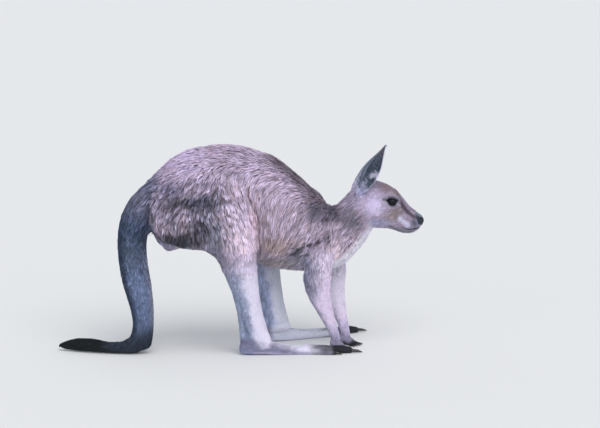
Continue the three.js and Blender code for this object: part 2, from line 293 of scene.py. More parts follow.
def as_right(points, limbs):
    """Places with the left limbs moved back to stand as the right ones, and y outwards."""
    z = points[:, 2]
    low = 1 - smooth(z, 0, 220)
    leg, arm = (limbs * (points[:, 1:2] > 0)).T
    ahead = leg * STRIDE * (1.1 - 0.1 * low) * (1 - smooth(z, 250, 520))
    ahead += arm * REACH * (0.65 + 1 - smooth(z, 210, 350) - 0.65 * (1 - smooth(z, 20, 210)))
    out = leg * 17 * (1 - smooth(z, 0, 240)) + arm * 30 * (1 - smooth(z, 0, 230))
    return np.stack([points[:, 0] - ahead, np.abs(points[:, 1]) + out, z], axis=1)


FLESH = [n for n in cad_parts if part_of(n) in COAT]
SOLID_FLESH = [n for n in FLESH if not n.startswith("ear")]

# ---- The skin: the flesh nodes as one closed surface ----
VOXEL = 0.0025
GROWN = 0.5  # how far each copy is grown over its node (mm)


def joined_copies(flesh_nodes, name):
    """Copies of frame nodes as one piece, each grown a little so that they meet."""
    made = []
    for node in flesh_nodes:
        piece = merged_copy(node, name + "_" + node)
        grown = points_of(piece.data) + normals_of(piece.data) * GROWN
        set_points(piece.data, grown)
        made.append(piece)
    make_active(made[0])
    for piece in made:
        piece.select_set(True)
    bpy.ops.object.join()
    made[0].name = name
    return made[0]


tree_points, tree_faces, face_part = [], [], []
for node in FLESH + ["eye_right", "eye_left"]:
    part = part_of(node) if part_of(node) in COAT else "head"
    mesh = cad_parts[node].data
    first = len(tree_points)
    tree_points += [v.co.copy() for v in mesh.vertices]
    tree_faces += [[first + i for i in p.vertices] for p in mesh.polygons]
    face_part += [PARTS.index(part)] * len(mesh.polygons)
flesh_tree = BVHTree.FromPolygons(tree_points, tree_faces)

skin = joined_copies(SOLID_FLESH + ["eye_right", "eye_left"], "skin")
apply_modifier(skin, "REMESH", mode="VOXEL", voxel_size=VOXEL, adaptivity=0.0)


def keep_largest_shell(piece):
    """Takes away all but the piece's largest closed surface."""
    bm = bmesh.new()
    bm.from_mesh(piece.data)
    bm.verts.ensure_lookup_table()
    shell = [-1] * len(bm.verts)
    sizes = []
    for start in bm.verts:
        if shell[start.index] >= 0:
            continue
        shell[start.index] = len(sizes)
        stack, size = [start], 0
        while stack:
            vertex = stack.pop()
            size += 1
            for edge in vertex.link_edges:
                other = edge.other_vert(vertex)
                if shell[other.index] < 0:
                    shell[other.index] = len(sizes)
                    stack.append(other)
        sizes.append(size)
    biggest = sizes.index(max(sizes))
    extra = [v for v in bm.verts if shell[v.index] != biggest]
    if extra:
        bmesh.ops.delete(bm, geom=extra, context="VERTS")
        bm.to_mesh(piece.data)
    bm.free()


keep_largest_shell(skin)


def parts_at(points):
    """The part that each point's nearest flesh face belongs to, as an index of PARTS."""
    places = to_frame(points)
    return np.array([face_part[flesh_tree.find_nearest(Vector(p))[2]] for p in places])


# Where two limbs of the frame meet at a crease: its middle, its radii and how far to relax.
JOINS = [
    ((354, 0, 405), (17, 90, 110), 13),
    ((36, 84, 58), (34, 44, 34), 12),
    ((84, 84, 32), (26, 44, 22), 13),
    ((64, 84, 62), (30, 56, 22), 15),
    ((268, 48, 32), (18, 26, 13), 6),
    ((0, 98, 262), (84, 60, 30), 14),
    ((-20, 98, 290), (90, 50, 22), 10),
    ((270, 50, 235), (60, 60, 26), 9),
    ((-250, 0, 420), (22, 90, 130), 13),
]
TURNS = 90  # how often the brush that relaxes the skin is used
FIRMEST_BRUSH = 0.92
place = points_of(skin.data)
links = edges_of(skin.data)
vertex_part = parts_at(place)
relax = spread_out(COAT_TABLE[vertex_part, RELAXED], links, 12)
paired = as_right(place, limb_shares(vertex_part, links))
for centre, radii, far in JOINS:
    relax = np.maximum(relax, far * blob(paired, centre, radii))
# A brush with this share, used TURNS times, relaxes over the wanted distance.
share = np.clip((relax / (VOXEL * 1000)) ** 2 * 2 / TURNS, 0, FIRMEST_BRUSH)
place = relaxed(skin, place, links, TURNS, share, 60)


# ---- Sculpting: broad forms of the flesh, then the head ----
# Each: its middle, its radii, the way it moves the surface and how far (mm). All on both sides.
BODY_FORMS = [
    ((-112, 118, 436), (64, 46, 17), (0, -1, 0), 9),  # fold above the thigh's bulk
    ((-125, 118, 368), (62, 46, 15), (0, -1, 0), 9),  # lower fold behind the knee's muscle
    ((-160, 118, 404), (56, 46, 18), (0, 1, 0), 5),
    ((-120, 118, 480), (60, 46, 22), (0, 1, 0), 4),
    ((-18, 120, 420), (34, 46, 70), (0, 1, 0), 6),
    ((46, 118, 385), (17, 46, 95), (0, -1, 0), 9),  # hollow of the flank ahead of the thigh
    ((20, 118, 480), (20, 46, 30), (0, -1, 0), 5),
    ((172, 100, 308), (56, 50, 10), (0, -1, 0), 10),  # crease behind the elbow
    ((140, 100, 345), (60, 50, 24), (0, 1, 0), 4),
    ((222, 90, 400), (30, 50, 46), (0, 1, 0), 5),  # shoulder
    ((262, 70, 345), (18, 50, 50), (0, -1, 0), 5),
    ((2, 95, 110), (9, 50, 75), (0, -1, 0), 4),  # groove ahead of the heel's tendon
    ((-40, 95, 205), (10, 50, 60), (0, 1, 0), 1.5),
    ((-2, 85, 52), (12, 40, 12), (0, 1, 0), 2.5),  # ankle bone
    ((90, 84, 30), (16, 40, 14), (0.5, 0, 0.85), 3),  # instep
    ((46, 58, 52), (36, 18, 12), (0, -1, 0), 6),  # inside of the ankle
    ((-188, 50, 300), (40, 60, 22), (-0.3, 0, -1), 3),  # tuft of the rump under the tail
    ((226, 0, 442), (42, 50, 26), (0.3, 0, 1), 8),  # mane of the nape
    ((254, 0, 404), (24, 44, 20), (0, 0, 1), 9),
    ((104, 0, 548), (56, 70, 34), (0.3, 0, 1), 5),
]
HEAD_FORMS = [
    ((426, 37, 444), (20, 9, 6.5), (0.15, 0.8, 0.6), 3.4),  # brow ridge
    ((398, 42, 440), (16, 12, 12), (0, -1, 0), 2.2),  # temple
    ((398, 45, 385), (26, 14, 26), (0, 1, 0), 3.0),  # cheek
    ((452, 34, 402), (17, 12, 8), (0, -1, 0), 2.6),  # hollow below the eye's front corner
    ((440, 38, 392), (26, 12, 6), (0, 1, 0), 1.8),  # cheek bone
    ((470, 26, 392), (20, 10, 12), (0, -1, 0), 1.8),
    ((494, 20, 352), (20, 9, 11), (0, 1, 0), 2.6),  # upper lip
    ((505, 14, 334), (16, 9, 7), (0, -1, 0.3), 2.0),  # chin stays narrow
    ((470, 24, 338), (18, 10, 8), (0, -1, 0.2), 2.0),
    ((518, 10, 372), (9, 6, 9), (0, 1, 0), 1.8),  # wings of the nose
    ((505, 0, 392), (10, 7, 5), (0, 0, 1), 0.8),
    ((340, 32, 462), (20, 18, 16), (-0.3, 0.55, 0.8), 5.5),  # foot of the ear
    ((385, 0, 484), (26, 12, 8), (0, 0, 1), -1.5),  # between the ears
]


def sculpt(paired, forms, points):
    """How far the forms move each point, from its place as on the right side."""
    moves = np.zeros_like(points)
    for centre, radii, way, far in forms:
        moves += (blob(paired, centre, radii) * far)[:, None] * unit(np.array(way, float))
    moves[:, 1] *= side_of(points)
    return moves


paired = as_right(place, limb_shares(vertex_part, links))
place = place + sculpt(paired, BODY_FORMS + HEAD_FORMS, place)
set_points(skin.data, place)

# ---- Fewer faces where the coat covers the skin, and as many as before where it shows ----
THIN_LEVELS = 10
dense = is_part(vertex_part, "head", "nose", "forepaw")
some = is_part(vertex_part, "hind_foot", "forearm", "shin")
thin_out = spread_out(np.where(dense, 0.0, np.where(some, 0.55, 1.0)), links, 10)
thin_out[dense] = 0
group = skin.vertex_groups.new(name="covered")
for level in range(THIN_LEVELS + 1):
    found = np.nonzero(np.round(thin_out * THIN_LEVELS).astype(int) == level)[0]
    if len(found):
        group.add(found.tolist(), level / THIN_LEVELS, "REPLACE")
apply_modifier(
    skin,
    "DECIMATE",
    ratio=0.34,
    vertex_group="covered",
    vertex_group_factor=1.0,
    use_collapse_triangulate=True,
)
skin.vertex_groups.clear()
facets = points_of(skin.data)
links = edges_of(skin.data)
vertex_part = parts_at(facets)
tail = is_part(vertex_part, *TAIL_PARTS[:-1])
trunk = is_part(vertex_part, "rump", "belly", "chest")
share = spread_out(np.where(tail, 0.55, np.where(trunk, 0.25, 0.0)), links, 5)
set_points(skin.data, relaxed(skin, facets, links, 9, share, 8))

# ---- Finer faces round the eyes, nostrils and mouth ----
MOUTH = np.array([[521, 347.5], [503, 344], [485, 341.5], [470, 344.5], [456, 352]])


def distance_to_line(x, z, line):
    """How far each place is from a line through points, as seen from the side."""
    best = np.full(len(x), 1e9)
    for (x0, z0), (x1, z1) in zip(line[:-1], line[1:]):
        t = np.clip(((x - x0) * (x1 - x0) + (z - z0) * (z1 - z0))
                    / ((x1 - x0) ** 2 + (z1 - z0) ** 2), 0, 1)
        best = np.minimum(best, np.hypot(x - x0 - t * (x1 - x0), z - z0 - t * (z1 - z0)))
    return best


def fine_zone(points):
    """True round the eyes, nostrils and mouth."""
    eye = np.linalg.norm(folded(points) - EYE_CENTRE, axis=1) < 30
    nose = (points[:, 0] > 503) & (points[:, 2] > 340)
    mouth = distance_to_line(points[:, 0], points[:, 2], MOUTH) < 6
    return (eye | nose | (mouth & (points[:, 0] > 445))) & (points[:, 0] > 395)


def eye_zone(points):
    """True close round the eyes."""
    return np.linalg.norm((folded(points) - EYE_CENTRE) * [1, 0.6, 1], axis=1) < 19


def refine(piece, zone):
    """Cuts each edge inside a zone in two."""
    bm = bmesh.new()
    bm.from_mesh(piece.data)
    inside = zone(to_animal([v.co[:] for v in bm.verts]))
    edges = [e for e in bm.edges if inside[e.verts[0].index] and inside[e.verts[1].index]]
    bmesh.ops.subdivide_edges(bm, edges=edges, cuts=1, use_grid_fill=True)
    bmesh.ops.triangulate(bm, faces=[f for f in bm.faces if len(f.verts) > 4])
    bm.to_mesh(piece.data)
    bm.free()


refine(skin, fine_zone)
refine(skin, eye_zone)
place = points_of(skin.data)
links = edges_of(skin.data)
vertex_part = parts_at(place)
place = spread_out(place, links, 8, np.where(fine_zone(place), 0.5, 0.0))
set_points(skin.data, place)

# ---- The coat's depth: the skin lies that far inside the flesh nodes ----
LOW_THIGH_DEPTH = 3.2
sunk = spread_out(COAT_TABLE[vertex_part, DEPTH], links, 70)
high_thigh = smooth(place[:, 2] - 0.4 * place[:, 0], 330, 460)
on_thigh = is_part(vertex_part, "thigh")
sunk = np.where(on_thigh, np.minimum(sunk, mix(LOW_THIGH_DEPTH, sunk, high_thigh)), sunk)
sunk = spread_out(sunk, links, 10)
place = place - normals_of(skin.data) * sunk[:, None]

# ---- Lids round the eyes ----
CORNER_BACK = np.array([415.0, 429.5])
CORNER_FRONT = np.array([443.0, 427.0])
LID_ABOVE = 5.6
LID_BELOW = 11.5
LID_RADIUS = EYE_RADIUS + 1.7  # the lids lie round the ball like a larger ball
SOCKET_RADIUS = EYE_RADIUS - 1.6  # the skin goes on behind the ball's front


def eye_opening(x, z):
    """How far a point is inside the opening between the lids, negative outside."""
    s = np.clip((x - CORNER_BACK[0]) / (CORNER_FRONT[0] - CORNER_BACK[0]), 0, 1)
    chord = CORNER_BACK[1] + s * (CORNER_FRONT[1] - CORNER_BACK[1])
    bow = np.maximum(4 * s * (1 - s), 0)
    upper = chord + LID_ABOVE * bow ** 0.65
    lower = chord - LID_BELOW * bow ** 0.75
    within = np.minimum(upper - z, z - lower)
    beyond = np.maximum(CORNER_BACK[0] - x, x - CORNER_FRONT[0])
    return np.where(beyond > 0, -np.hypot(beyond, z - chord), within)


def shape_lids(points):
    """Lays the lids round the eyeballs, with a rim and a crease, and sinks the opening."""
    x, y, z = folded(points).T
    d = eye_distance(x, z)
    near = (d < 26) & (y > 18)
    inside = eye_opening(x, z)
    on_ball = EYE_CENTRE[1] + np.sqrt(np.maximum(SOCKET_RADIUS ** 2 - d ** 2, 0))
    lid = EYE_CENTRE[1] + np.sqrt(np.maximum(LID_RADIUS ** 2 - d ** 2, 0))
    raised = np.where(d < LID_RADIUS, np.maximum(y, lid), y)
    rim = 0.7 * np.exp(-((inside + 1.2) / 1.1) ** 2)
    crease = -0.9 * np.exp(-((inside + 4.6) / 1.1) ** 2)
    pit = np.maximum(on_ball, y - 5.0)
    new = np.where(inside > 0.25, pit, raised + rim + crease)
    y = np.where(near, new, y)
    return np.stack([x, y * side_of(points), z], axis=1)


def snap_to_opening(points):
    """Slides the vertices nearest the lids' edge on to it, so that the edge is clean."""
    x, z = points[:, 0].copy(), points[:, 2].copy()
    near = (eye_distance(x, z) < 20) & (np.abs(points[:, 1]) > 30)
    step = 0.05
    for _ in range(3):
        f = eye_opening(x, z)
        gx = (eye_opening(x + step, z) - eye_opening(x - step, z)) / (2 * step)
        gz = (eye_opening(x, z + step) - eye_opening(x, z - step)) / (2 * step)
        size = np.maximum(gx ** 2 + gz ** 2, 0.2)
        move = near & (np.abs(f) < 0.36)
        x = np.where(move, x - f * gx / size, x)
        z = np.where(move, z - f * gz / size, z)
    return np.stack([x, points[:, 1], z], axis=1)


place = shape_lids(snap_to_opening(place))
near_eye = blob(place, EYE_CENTRE, (24, 16, 22)) > 0.15
inside_eye = eye_opening(place[:, 0], place[:, 2])
settle = np.where(np.abs(inside_eye) > 1.5, 0.4, 0.0)
place = spread_out(place, links, 3, np.where(near_eye, settle, 0.0))

# ---- Nostrils and mouth ----
NOSTRIL = np.array([517.0, 11.0, 369.0])
TO_NOSTRIL = unit(np.array([[-0.55, -0.75, -0.1]]))


def slit(points, middle, way, half, wide):
    """1 in a slit through a middle, 0 outside it."""
    way = unit(np.array(way, float))
    along = (points - middle) @ way
    off = np.linalg.norm(points - middle - along[:, None] * way, axis=1)
    return np.exp(-(np.abs(along) / half) ** 3 - (off / wide) ** 2)


nostril = slit(folded(place), NOSTRIL, (-0.75, 0.25, 0.75), 5.6, 2.7)
wing = slit(folded(place), NOSTRIL + [1.5, -0.5, 4.2], (-0.8, 0.2, 0.6), 6.5, 2.6)
inwards = (nostril * 5.2 - wing * 1.2)[:, None] * TO_NOSTRIL
inwards[:, 1] *= side_of(place)
place = place + inwards
from_mouth = distance_to_line(place[:, 0], place[:, 2], MOUTH)
mouth_gap = np.exp(-(from_mouth / 1.7) ** 2) * smooth(place[:, 0], 452, 460)
lip_swell = np.exp(-((from_mouth - 4.2) / 2.4) ** 2) * smooth(place[:, 0], 462, 480)
groove = np.exp(-(place[:, 1] / 1.5) ** 2) * smooth(place[:, 0], 514, 519)
groove *= smooth(place[:, 2], 345, 350) * (1 - smooth(place[:, 2], 372, 378))
set_points(skin.data, place)
outward = normals_of(skin.data)
place = place - outward * (mouth_gap * 2.1 - lip_swell * 0.5 + groove * 1.1)[:, None]
place[:, 2] = np.maximum(place[:, 2], SKIN_CLEARANCE)
set_points(skin.data, place)

# ---- Fingers: the gaps between them are let down between the knuckles ----
PAW_TURN = {"right": 8, "left": -35}
WRIST = {"right": np.array([268.0, -48.0]), "left": np.array([268.0 + REACH, 18.0])}
FINGER_FAN = 15


def paw_coordinates(points, side):
    """x ahead of the wrist and y outwards, in a forepaw's own frame."""
    turn = math.radians(SIDES[side] * PAW_TURN[side])
    x, y = points[:, 0] - WRIST[side][0], points[:, 1] - WRIST[side][1]
    ahead = x * math.cos(turn) + y * math.sin(turn)
    across = y * math.cos(turn) - x * math.sin(turn)
    return ahead, across * SIDES[side]


vertex_part = parts_at(place)
for side in SIDES:
    ahead, across = paw_coordinates(place, side)
    on_paw = (np.hypot(ahead - 15, across) < 42) & (place[:, 2] < 34)
    on_paw &= is_part(vertex_part, "forepaw")
    reach = np.hypot(ahead - 5, across)
    fan = np.degrees(np.arctan2(across * reach / (reach + 8), ahead - 5)) / FINGER_FAN
    off = np.abs(fan - (np.clip(np.floor(fan), -2, 1) + 0.5))
    between = np.exp(-(off / 0.2) ** 2) * smooth(reach, 13, 22) * (np.abs(fan) < 2.2)
    lower = np.where(on_paw, between, 0)
    place[:, 2] -= lower * 0.75 * (place[:, 2] - 0.5)
set_points(skin.data, place)

# ---- Ears: a leaf rolled round its own axis, with a thin wall ----
EAR_LENGTH = 149
EAR_ROOT = 10
EAR_BASE = (345, 31, 469)
EAR_LEAN = {"right": 27, "left": 38.5}
EAR_SPLAY = {"right": 12, "left": 14}
EAR_TURN = {"right": 80, "left": 22}
EAR_WALL = 0.0026  # how thick the wall is at the ear's foot, in metres


def leaf_roll(f):
    """Half the angle that the wall goes round, in degrees."""
    return 140 - 58 * f


def leaf_point(f, g):
    """A point of the ear's middle surface: f from base to tip, g from -1 to 1 across."""
    wall = 4.4 * (1 - 0.5 * f)
    swell = np.maximum(np.sin(math.pi * (0.2 + 0.8 * f)), 0) ** 1.25
    radius = 2.6 + 22.5 * swell * (1 - 0.18 * f) - wall / 2
    roll = np.radians(leaf_roll(f))
    angle = math.pi + g * roll
    flare = 1 + 0.05 * np.abs(g) ** 6
    ridge = 0.5 * np.cos(g * 9) * np.sin(math.pi * f) * (1 - g ** 2)
    x = (radius * flare + ridge) * np.cos(angle) + 4 * np.sin(math.pi * f)
    y = (radius * flare + ridge) * np.sin(angle)
    return np.stack([x, y, EAR_LENGTH * f - EAR_ROOT], axis=-1)


def ear_turns(side):
    """How an ear turns on its own axis and how it stands on the head, as two matrices."""
    lean, splay = math.radians(EAR_LEAN[side]), math.radians(-SIDES[side] * EAR_SPLAY[side])
    turn = Euler((0, 0, math.radians(-EAR_TURN[side]))).to_matrix()
    return np.array(turn), np.array(Euler((splay, lean, 0)).to_matrix())


def set_on_head(points, side):
    """Moves points from an ear's own frame to their place on the head."""
    turn, stand = ear_turns(side)
    out = SIDES[side]
    return points @ turn.T * [1, -out, 1] @ stand.T + np.array(EAR_BASE) * [1, out, 1]


def from_head(points, side):
    """The way back: places on the head as points of an ear's own frame."""
    turn, stand = ear_turns(side)
    out = SIDES[side]
    return (points - np.array(EAR_BASE) * [1, out, 1]) @ stand * [1, -out, 1] @ turn


def make_ear(side):
    """A grid rolled to an ear's middle surface and given its wall."""
    bpy.ops.mesh.primitive_grid_add(x_subdivisions=26, y_subdivisions=54, size=2)
    ear = bpy.context.active_object
    ear.name = "ear_leaf_" + side
    flat = np.array([v.co[:] for v in ear.data.vertices])
    f = -0.12 + 1.12 * (flat[:, 1] + 1) / 2
    set_points(ear.data, set_on_head(leaf_point(f, flat[:, 0]), side))
    thick = ear.vertex_groups.new(name="thick")
    for vertex, level in zip(ear.data.vertices, f):
        thick.add([vertex.index], 1 - 0.55 * max(level, 0), "REPLACE")
    apply_modifier(
        ear, "SOLIDIFY", thickness=EAR_WALL, offset=0.0, vertex_group="thick", use_even_offset=True
    )
    bpy.ops.object.mode_set(mode="EDIT")
    bpy.ops.mesh.select_all(action="SELECT")
    bpy.ops.mesh.normals_make_consistent(inside=False)
    bpy.ops.mesh.quads_convert_to_tris()
    bpy.ops.object.mode_set(mode="OBJECT")
    return ear


for side in SIDES:
    ear = make_ear(side)
    ear.vertex_groups.clear()
    apply_modifier(skin, "BOOLEAN", operation="UNION", solver="MANIFOLD", object=ear)
    bpy.data.objects.remove(ear)
place = points_of(skin.data)
links = edges_of(skin.data)
foot_of_ear = blob(place, np.array(EAR_BASE) + [0, 0, 2], (17, 17, 9))
place = spread_out(place, links, 10, np.clip(foot_of_ear * 1.2, 0, 0.5))
set_points(skin.data, place)
bm = bmesh.new()
bm.from_mesh(skin.data)
bmesh.ops.dissolve_degenerate(bm, dist=1e-6, edges=bm.edges)
bmesh.ops.triangulate(bm, faces=bm.faces)
bm.to_mesh(skin.data)
bm.free()
skin.data.shade_smooth()

# ---- Markings: the same for the skin and for the tufts that grow from it ----
COLOURS = {
    "side": (164, 149, 168),
    # The back and the rump are lighter colours for the top: partly their own colour and partly
    # painted light from above.
    "back": (182, 165, 190),
    "rump": (202, 185, 218),
    "ridge": (108, 98, 110),
    "pale_side": (192, 176, 202),
    "rump_rim": (108, 112, 140),
    "rump_rear": (86, 93, 116),
    "hip_light": (138, 128, 150),
    "hip_shade": (104, 101, 127),
    # The three colours below are painted shade in the folds and hollows of the hip.
    "hollow": (66, 66, 82),
    "hip_dark": (76, 78, 97),
    "deep": (54, 57, 72),
    "hip_bump": (120, 115, 135),
    "hip_lobe": (99, 96, 111),
    "rump_low": (46, 49, 58),
    "rump_fringe": (72, 76, 82),
    "rump_tuft": (112, 144, 188),
    "warm": (196, 168, 184),
    "flank_low": (152, 133, 130),
    "tan": (118, 106, 102),
    # The belly's underside is greyer: partly its own colour and partly painted shade.
    "belly_under": (146, 139, 146),
    # The two colours below are painted shade under the elbow and in the crease behind it.
    "elbow": (84, 86, 94),
    "crease": (46, 44, 52),
    "thigh_line": (108, 90, 98),
    "shoulder": (70, 70, 87),
    "nape": (40, 46, 58),
    "neck": (94, 92, 106),
    "neck_top": (126, 121, 142),
    "breast": (200, 184, 196),
    "white": (232, 229, 242),
    "thigh": (198, 182, 206),
    "thigh_front": (234, 214, 234),
    "thigh_back": (112, 113, 131),
    "leg_high": (212, 201, 230),
    "leg_front": (238, 233, 252),
    "leg_high_back": (134, 134, 157),
    "leg_back": (144, 152, 178),
    # Painted shade in the groove ahead of the heel's tendon.
    "leg_groove": (112, 121, 148),
    "leg_inner": (236, 241, 254),
    "foot": (122, 121, 148),
    "heel": (136, 142, 172),
    "toe_grey": (100, 100, 114),
    "black": (34, 35, 42),
    "arm_back": (130, 129, 153),
    "arm_front": (224, 210, 234),
    "wrist": (184, 176, 204),
    "paw": (142, 138, 162),
    "tail_dark": (66, 78, 103),
    "tail_root": (104, 105, 130),
    "tail_mid": (82, 93, 116),
    "tail_blue": (106, 119, 152),
    "tail_low": (96, 108, 139),
    "tail_rear": (56, 68, 91),
    "tail_front": (128, 133, 156),
    # Painted shade under the tail's bend.
    "tail_bend": (40, 49, 62),
    "tail_tip": (20, 25, 29),
    "temple": (164, 151, 174),
    "cheek": (184, 172, 202),
    "cheek_pale": (228, 218, 248),
    "jaw_shade": (142, 146, 174),
    # Painted shade under the jaw.
    "jaw_low": (160, 162, 194),
    "crown": (140, 122, 130),
    "brow": (188, 170, 184),
    "eye_ring": (150, 145, 164),
    "eye_halo": (92, 88, 102),
    "eye_rim": (22, 20, 26),
    "stripe": (74, 65, 76),
    "bridge": (170, 166, 186),
    "cheek_brown": (134, 121, 126),
    "cheek_tan": (150, 137, 144),
    "moustache": (212, 210, 234),
    "lip": (84, 90, 106),
    "mouth": (40, 40, 50),
    "jaw": (122, 122, 134),
    "nose": (32, 38, 50),
    "nostril": (12, 13, 17),
    # A pale top at the nose's tip: partly pale hair and partly a painted sheen on the wet pad.
    "nose_top": (124, 130, 148),
    "ear_back": (144, 148, 168),
    # The ear's inner dark: partly its dark skin and partly painted shade in the hollow.
    "ear_dark": (86, 96, 113),
    "ear_tip": (110, 102, 112),
    "ear_pale": (236, 233, 254),
    "ear_foot": (214, 216, 244),
}
LINEAR = {name: srgb(*colour) for name, colour in COLOURS.items()}
# Each: its colour, its middle, its radii (mm, on both sides) and its strength.
BODY_MARKS = [
    # The pale top of the rump: partly its own colour and partly painted light from above.
    ("rump", (-165, 0, 548), (84, 150, 50), 0.95),
    ("rump_rim", (-262, 0, 480), (56, 150, 62), 0.9),
    ("rump_rear", (-262, 0, 390), (38, 150, 76), 0.9),
    ("pale_side", (22, 100, 510), (50, 80, 26), 0.95),
    ("hip_shade", (-200, 110, 478), (48, 80, 28), 0.85),
    ("hip_light", (-145, 110, 492), (40, 70, 20), 0.85),
    ("hip_light", (-96, 110, 494), (62, 70, 22), 0.7),
    # The darkest hip marks here are painted shade in the hip's folds, over the thigh's bulk and
    # behind the knee's muscle.
    ("hip_dark", (-92, 110, 462), (30, 70, 20), 0.5),
    ("hollow", (-155, 110, 443), (106, 80, 28), 0.95),
    ("hollow", (-100, 110, 457), (46, 70, 15), 0.6),
    ("deep", (-92, 110, 438), (38, 70, 20), 0.8),
    ("hip_dark", (-122, 110, 404), (54, 70, 44), 0.9),
    ("hip_bump", (-212, 110, 408), (32, 70, 20), 0.85),
    ("hip_lobe", (-188, 110, 384), (38, 70, 18), 0.75),
    ("rump_low", (-172, 110, 340), (92, 80, 32), 0.95),
    ("deep", (-120, 110, 366), (44, 70, 26), 0.92),
    ("rump_low", (-174, 110, 336), (76, 80, 24), 0.8),
    ("rump_fringe", (-140, 110, 302), (84, 80, 18), 0.8),
    ("rump_tuft", (-226, 80, 310), (34, 70, 20), 0.97),
    ("warm", (28, 110, 386), (24, 70, 46), 0.8),
    ("flank_low", (90, 100, 318), (84, 70, 30), 0.8),
    # A darker band low on the belly: partly tan hair and partly painted shade under the belly.
    ("tan", (96, 90, 266), (90, 80, 22), 0.95),
    # Painted shade under and behind the elbow.
    ("elbow", (156, 90, 276), (48, 80, 26), 0.9),
    ("shoulder", (212, 80, 410), (48, 80, 40), 0.95),
    ("breast", (262, 50, 285), (34, 60, 36), 0.85),
    ("neck", (234, 90, 332), (32, 70, 32), 0.5),
    ("neck", (316, 46, 376), (36, 60, 50), 0.9),
    ("neck_top", (318, 30, 430), (28, 60, 26), 0.85),
    ("cheek", (342, 40, 424), (20, 60, 22), 0.8),
    ("nape", (264, 60, 396), (46, 90, 38), 0.97),
]
# Each: its colour, the places (x, z) that it runs through, half its width and its strength.
BODY_LINES = [
    ("ridge", [(86, 562), (124, 530), (158, 500), (190, 466), (220, 430)], 27, 0.95),
    # Painted shade in the crease behind the elbow.
    ("crease", [(218, 326), (190, 316), (162, 300), (142, 290)], 7, 0.95),
    ("side", [(206, 340), (166, 318), (134, 300)], 7, 0.6),
    # Painted shade along the thigh's upper edge.
    ("hip_dark", [(-66, 531), (-36, 522), (-8, 516)], 5, 0.5),
    ("tan", [(60, 410), (66, 350), (80, 290)], 7, 0.4),
    ("tan", [(90, 380), (96, 330), (104, 285)], 6, 0.35),
    ("tan", [(122, 360), (118, 320), (122, 280)], 6, 0.3),
    ("thigh_line", [(12, 474), (28, 430), (37, 395), (45, 340), (50, 280)], 6, 0.8),
]
WHITE_LINE = [(384, 346), (368, 320), (351, 292), (328, 266), (300, 244), (268, 226)]
LEG_MARKS = [
    ("thigh", (-20, 110, 412), (50, 90, 70), 0.9),
    ("thigh_back", (-84, 110, 340), (32, 90, 84), 0.95),
    ("thigh_front", (6, 110, 334), (42, 90, 62), 0.95),
    ("warm", (26, 110, 386), (18, 90, 40), 0.8),
    ("thigh_line", (50, 110, 400), (9, 90, 80), 0.7),
]
HEAD_MARKS = [
    ("cheek", (372, 46, 425), (40, 40, 42), 0.95),
    ("cheek_pale", (377, 46, 410), (25, 40, 26), 0.95),
    ("jaw_shade", (346, 40, 384), (14, 40, 15), 0.85),
    # Painted shade under the jaw.
    ("jaw_low", (386, 40, 364), (44, 40, 13), 0.9),
    ("crown", (416, 20, 464), (30, 50, 15), 0.95),
    ("crown", (444, 20, 450), (15, 40, 13), 0.8),
    ("brow", (430, 37, 447), (16, 14, 6), 0.7),
    ("cheek_tan", (438, 42, 384), (38, 26, 22), 0.9),
    ("cheek_brown", (444, 42, 398), (30, 26, 16), 0.95),
    ("stripe", (438, 42, 379), (5, 20, 5), 0.5),
    ("lip", (497, 20, 359), (20, 20, 15), 0.95),
    ("bridge", (472, 0, 420), (30, 15, 22), 0.85),
    # Pale hair above the pad, with a painted sheen on its upper edge.
    ("nose_top", (500, 0, 397), (16, 9, 9), 0.85),
]
HEAD_LINES = [
    ("crown", [(444, 448), (454, 430)], 7, 0.7),
    ("stripe", [(452, 428), (463, 409), (475, 396), (489, 384), (500, 375)], 7.5, 0.9),
    ("moustache", [(454, 376), (464, 365), (477, 353)], 8, 0.95),
    ("jaw", [(430, 350), (446, 342), (466, 337), (488, 335), (506, 342)], 9, 0.9),
]
# A leg's and an arm's front and rear edges on their own side: (height, front x, rear x).
LEG_EDGES = np.array([
    [42, 80, -11], [76, 67, -13], [122, 54, -20], [175, 45, -34], [230, 40, -56],
    [272, 38, -80], [303, 37, -116],
])
ARM_EDGES = np.array([
    [28, 282, 257], [57, 276, 243], [86, 268, 226], [116, 260, 209], [146, 254, 191],
    [176, 251, 178], [212, 254, 169], [256, 257, 175], [304, 256, 174], [350, 246, 172],
])
# The tail's colour at each height.
TAIL_TONES = [
    (60, "tail_low"), (120, "tail_low"), (185, "tail_blue"), (215, "tail_blue"),
    (285, "tail_mid"), (350, "tail_dark"), (375, "tail_dark"), (425, "tail_root"),
]


def capped(colours, top):
    """Colours brought down to a highest level without a change of hue."""
    return colours / np.maximum(colours.max(axis=-1, keepdims=True) / top, 1)


def toned(levels, steps):
    """The colour at each level, between those of the named steps."""
    at = [step for step, _ in steps]
    names = [name for _, name in steps]
    return np.stack([np.interp(levels, at, [LINEAR[n][k] for n in names]) for k in range(3)],
                    axis=1)


def paint(colours, *layers):
    """Lays markings over the colours, one after another: each is a colour's name and weight."""
    for name, weight in layers:
        colours = mix(colours, LINEAR[name], np.clip(weight, 0, 1))
    return colours


def lay_marks(colours, marks, points, share=1.0):
    """Lays soft round marks over the colours, one after another."""
    for name, centre, radii, strength in marks:
        colours = paint(colours, (name, blob(points, centre, radii) * strength * share))
    return colours


def on_line(points, line, wide):
    """1 on a line drawn along the animal's side and 0 past about its width."""
    line = np.array(line, float)
    return np.exp(-1.6 * (distance_to_line(points[:, 0], points[:, 2], line) / wide) ** 2.6)


def across_limb(x, z, edges):
    """0 at a limb's rear edge and 1 at its front edge."""
    front = np.interp(z, edges[:, 0], edges[:, 1])
    rear = np.interp(z, edges[:, 0], edges[:, 2])
    return (x - rear) / (front - rear)


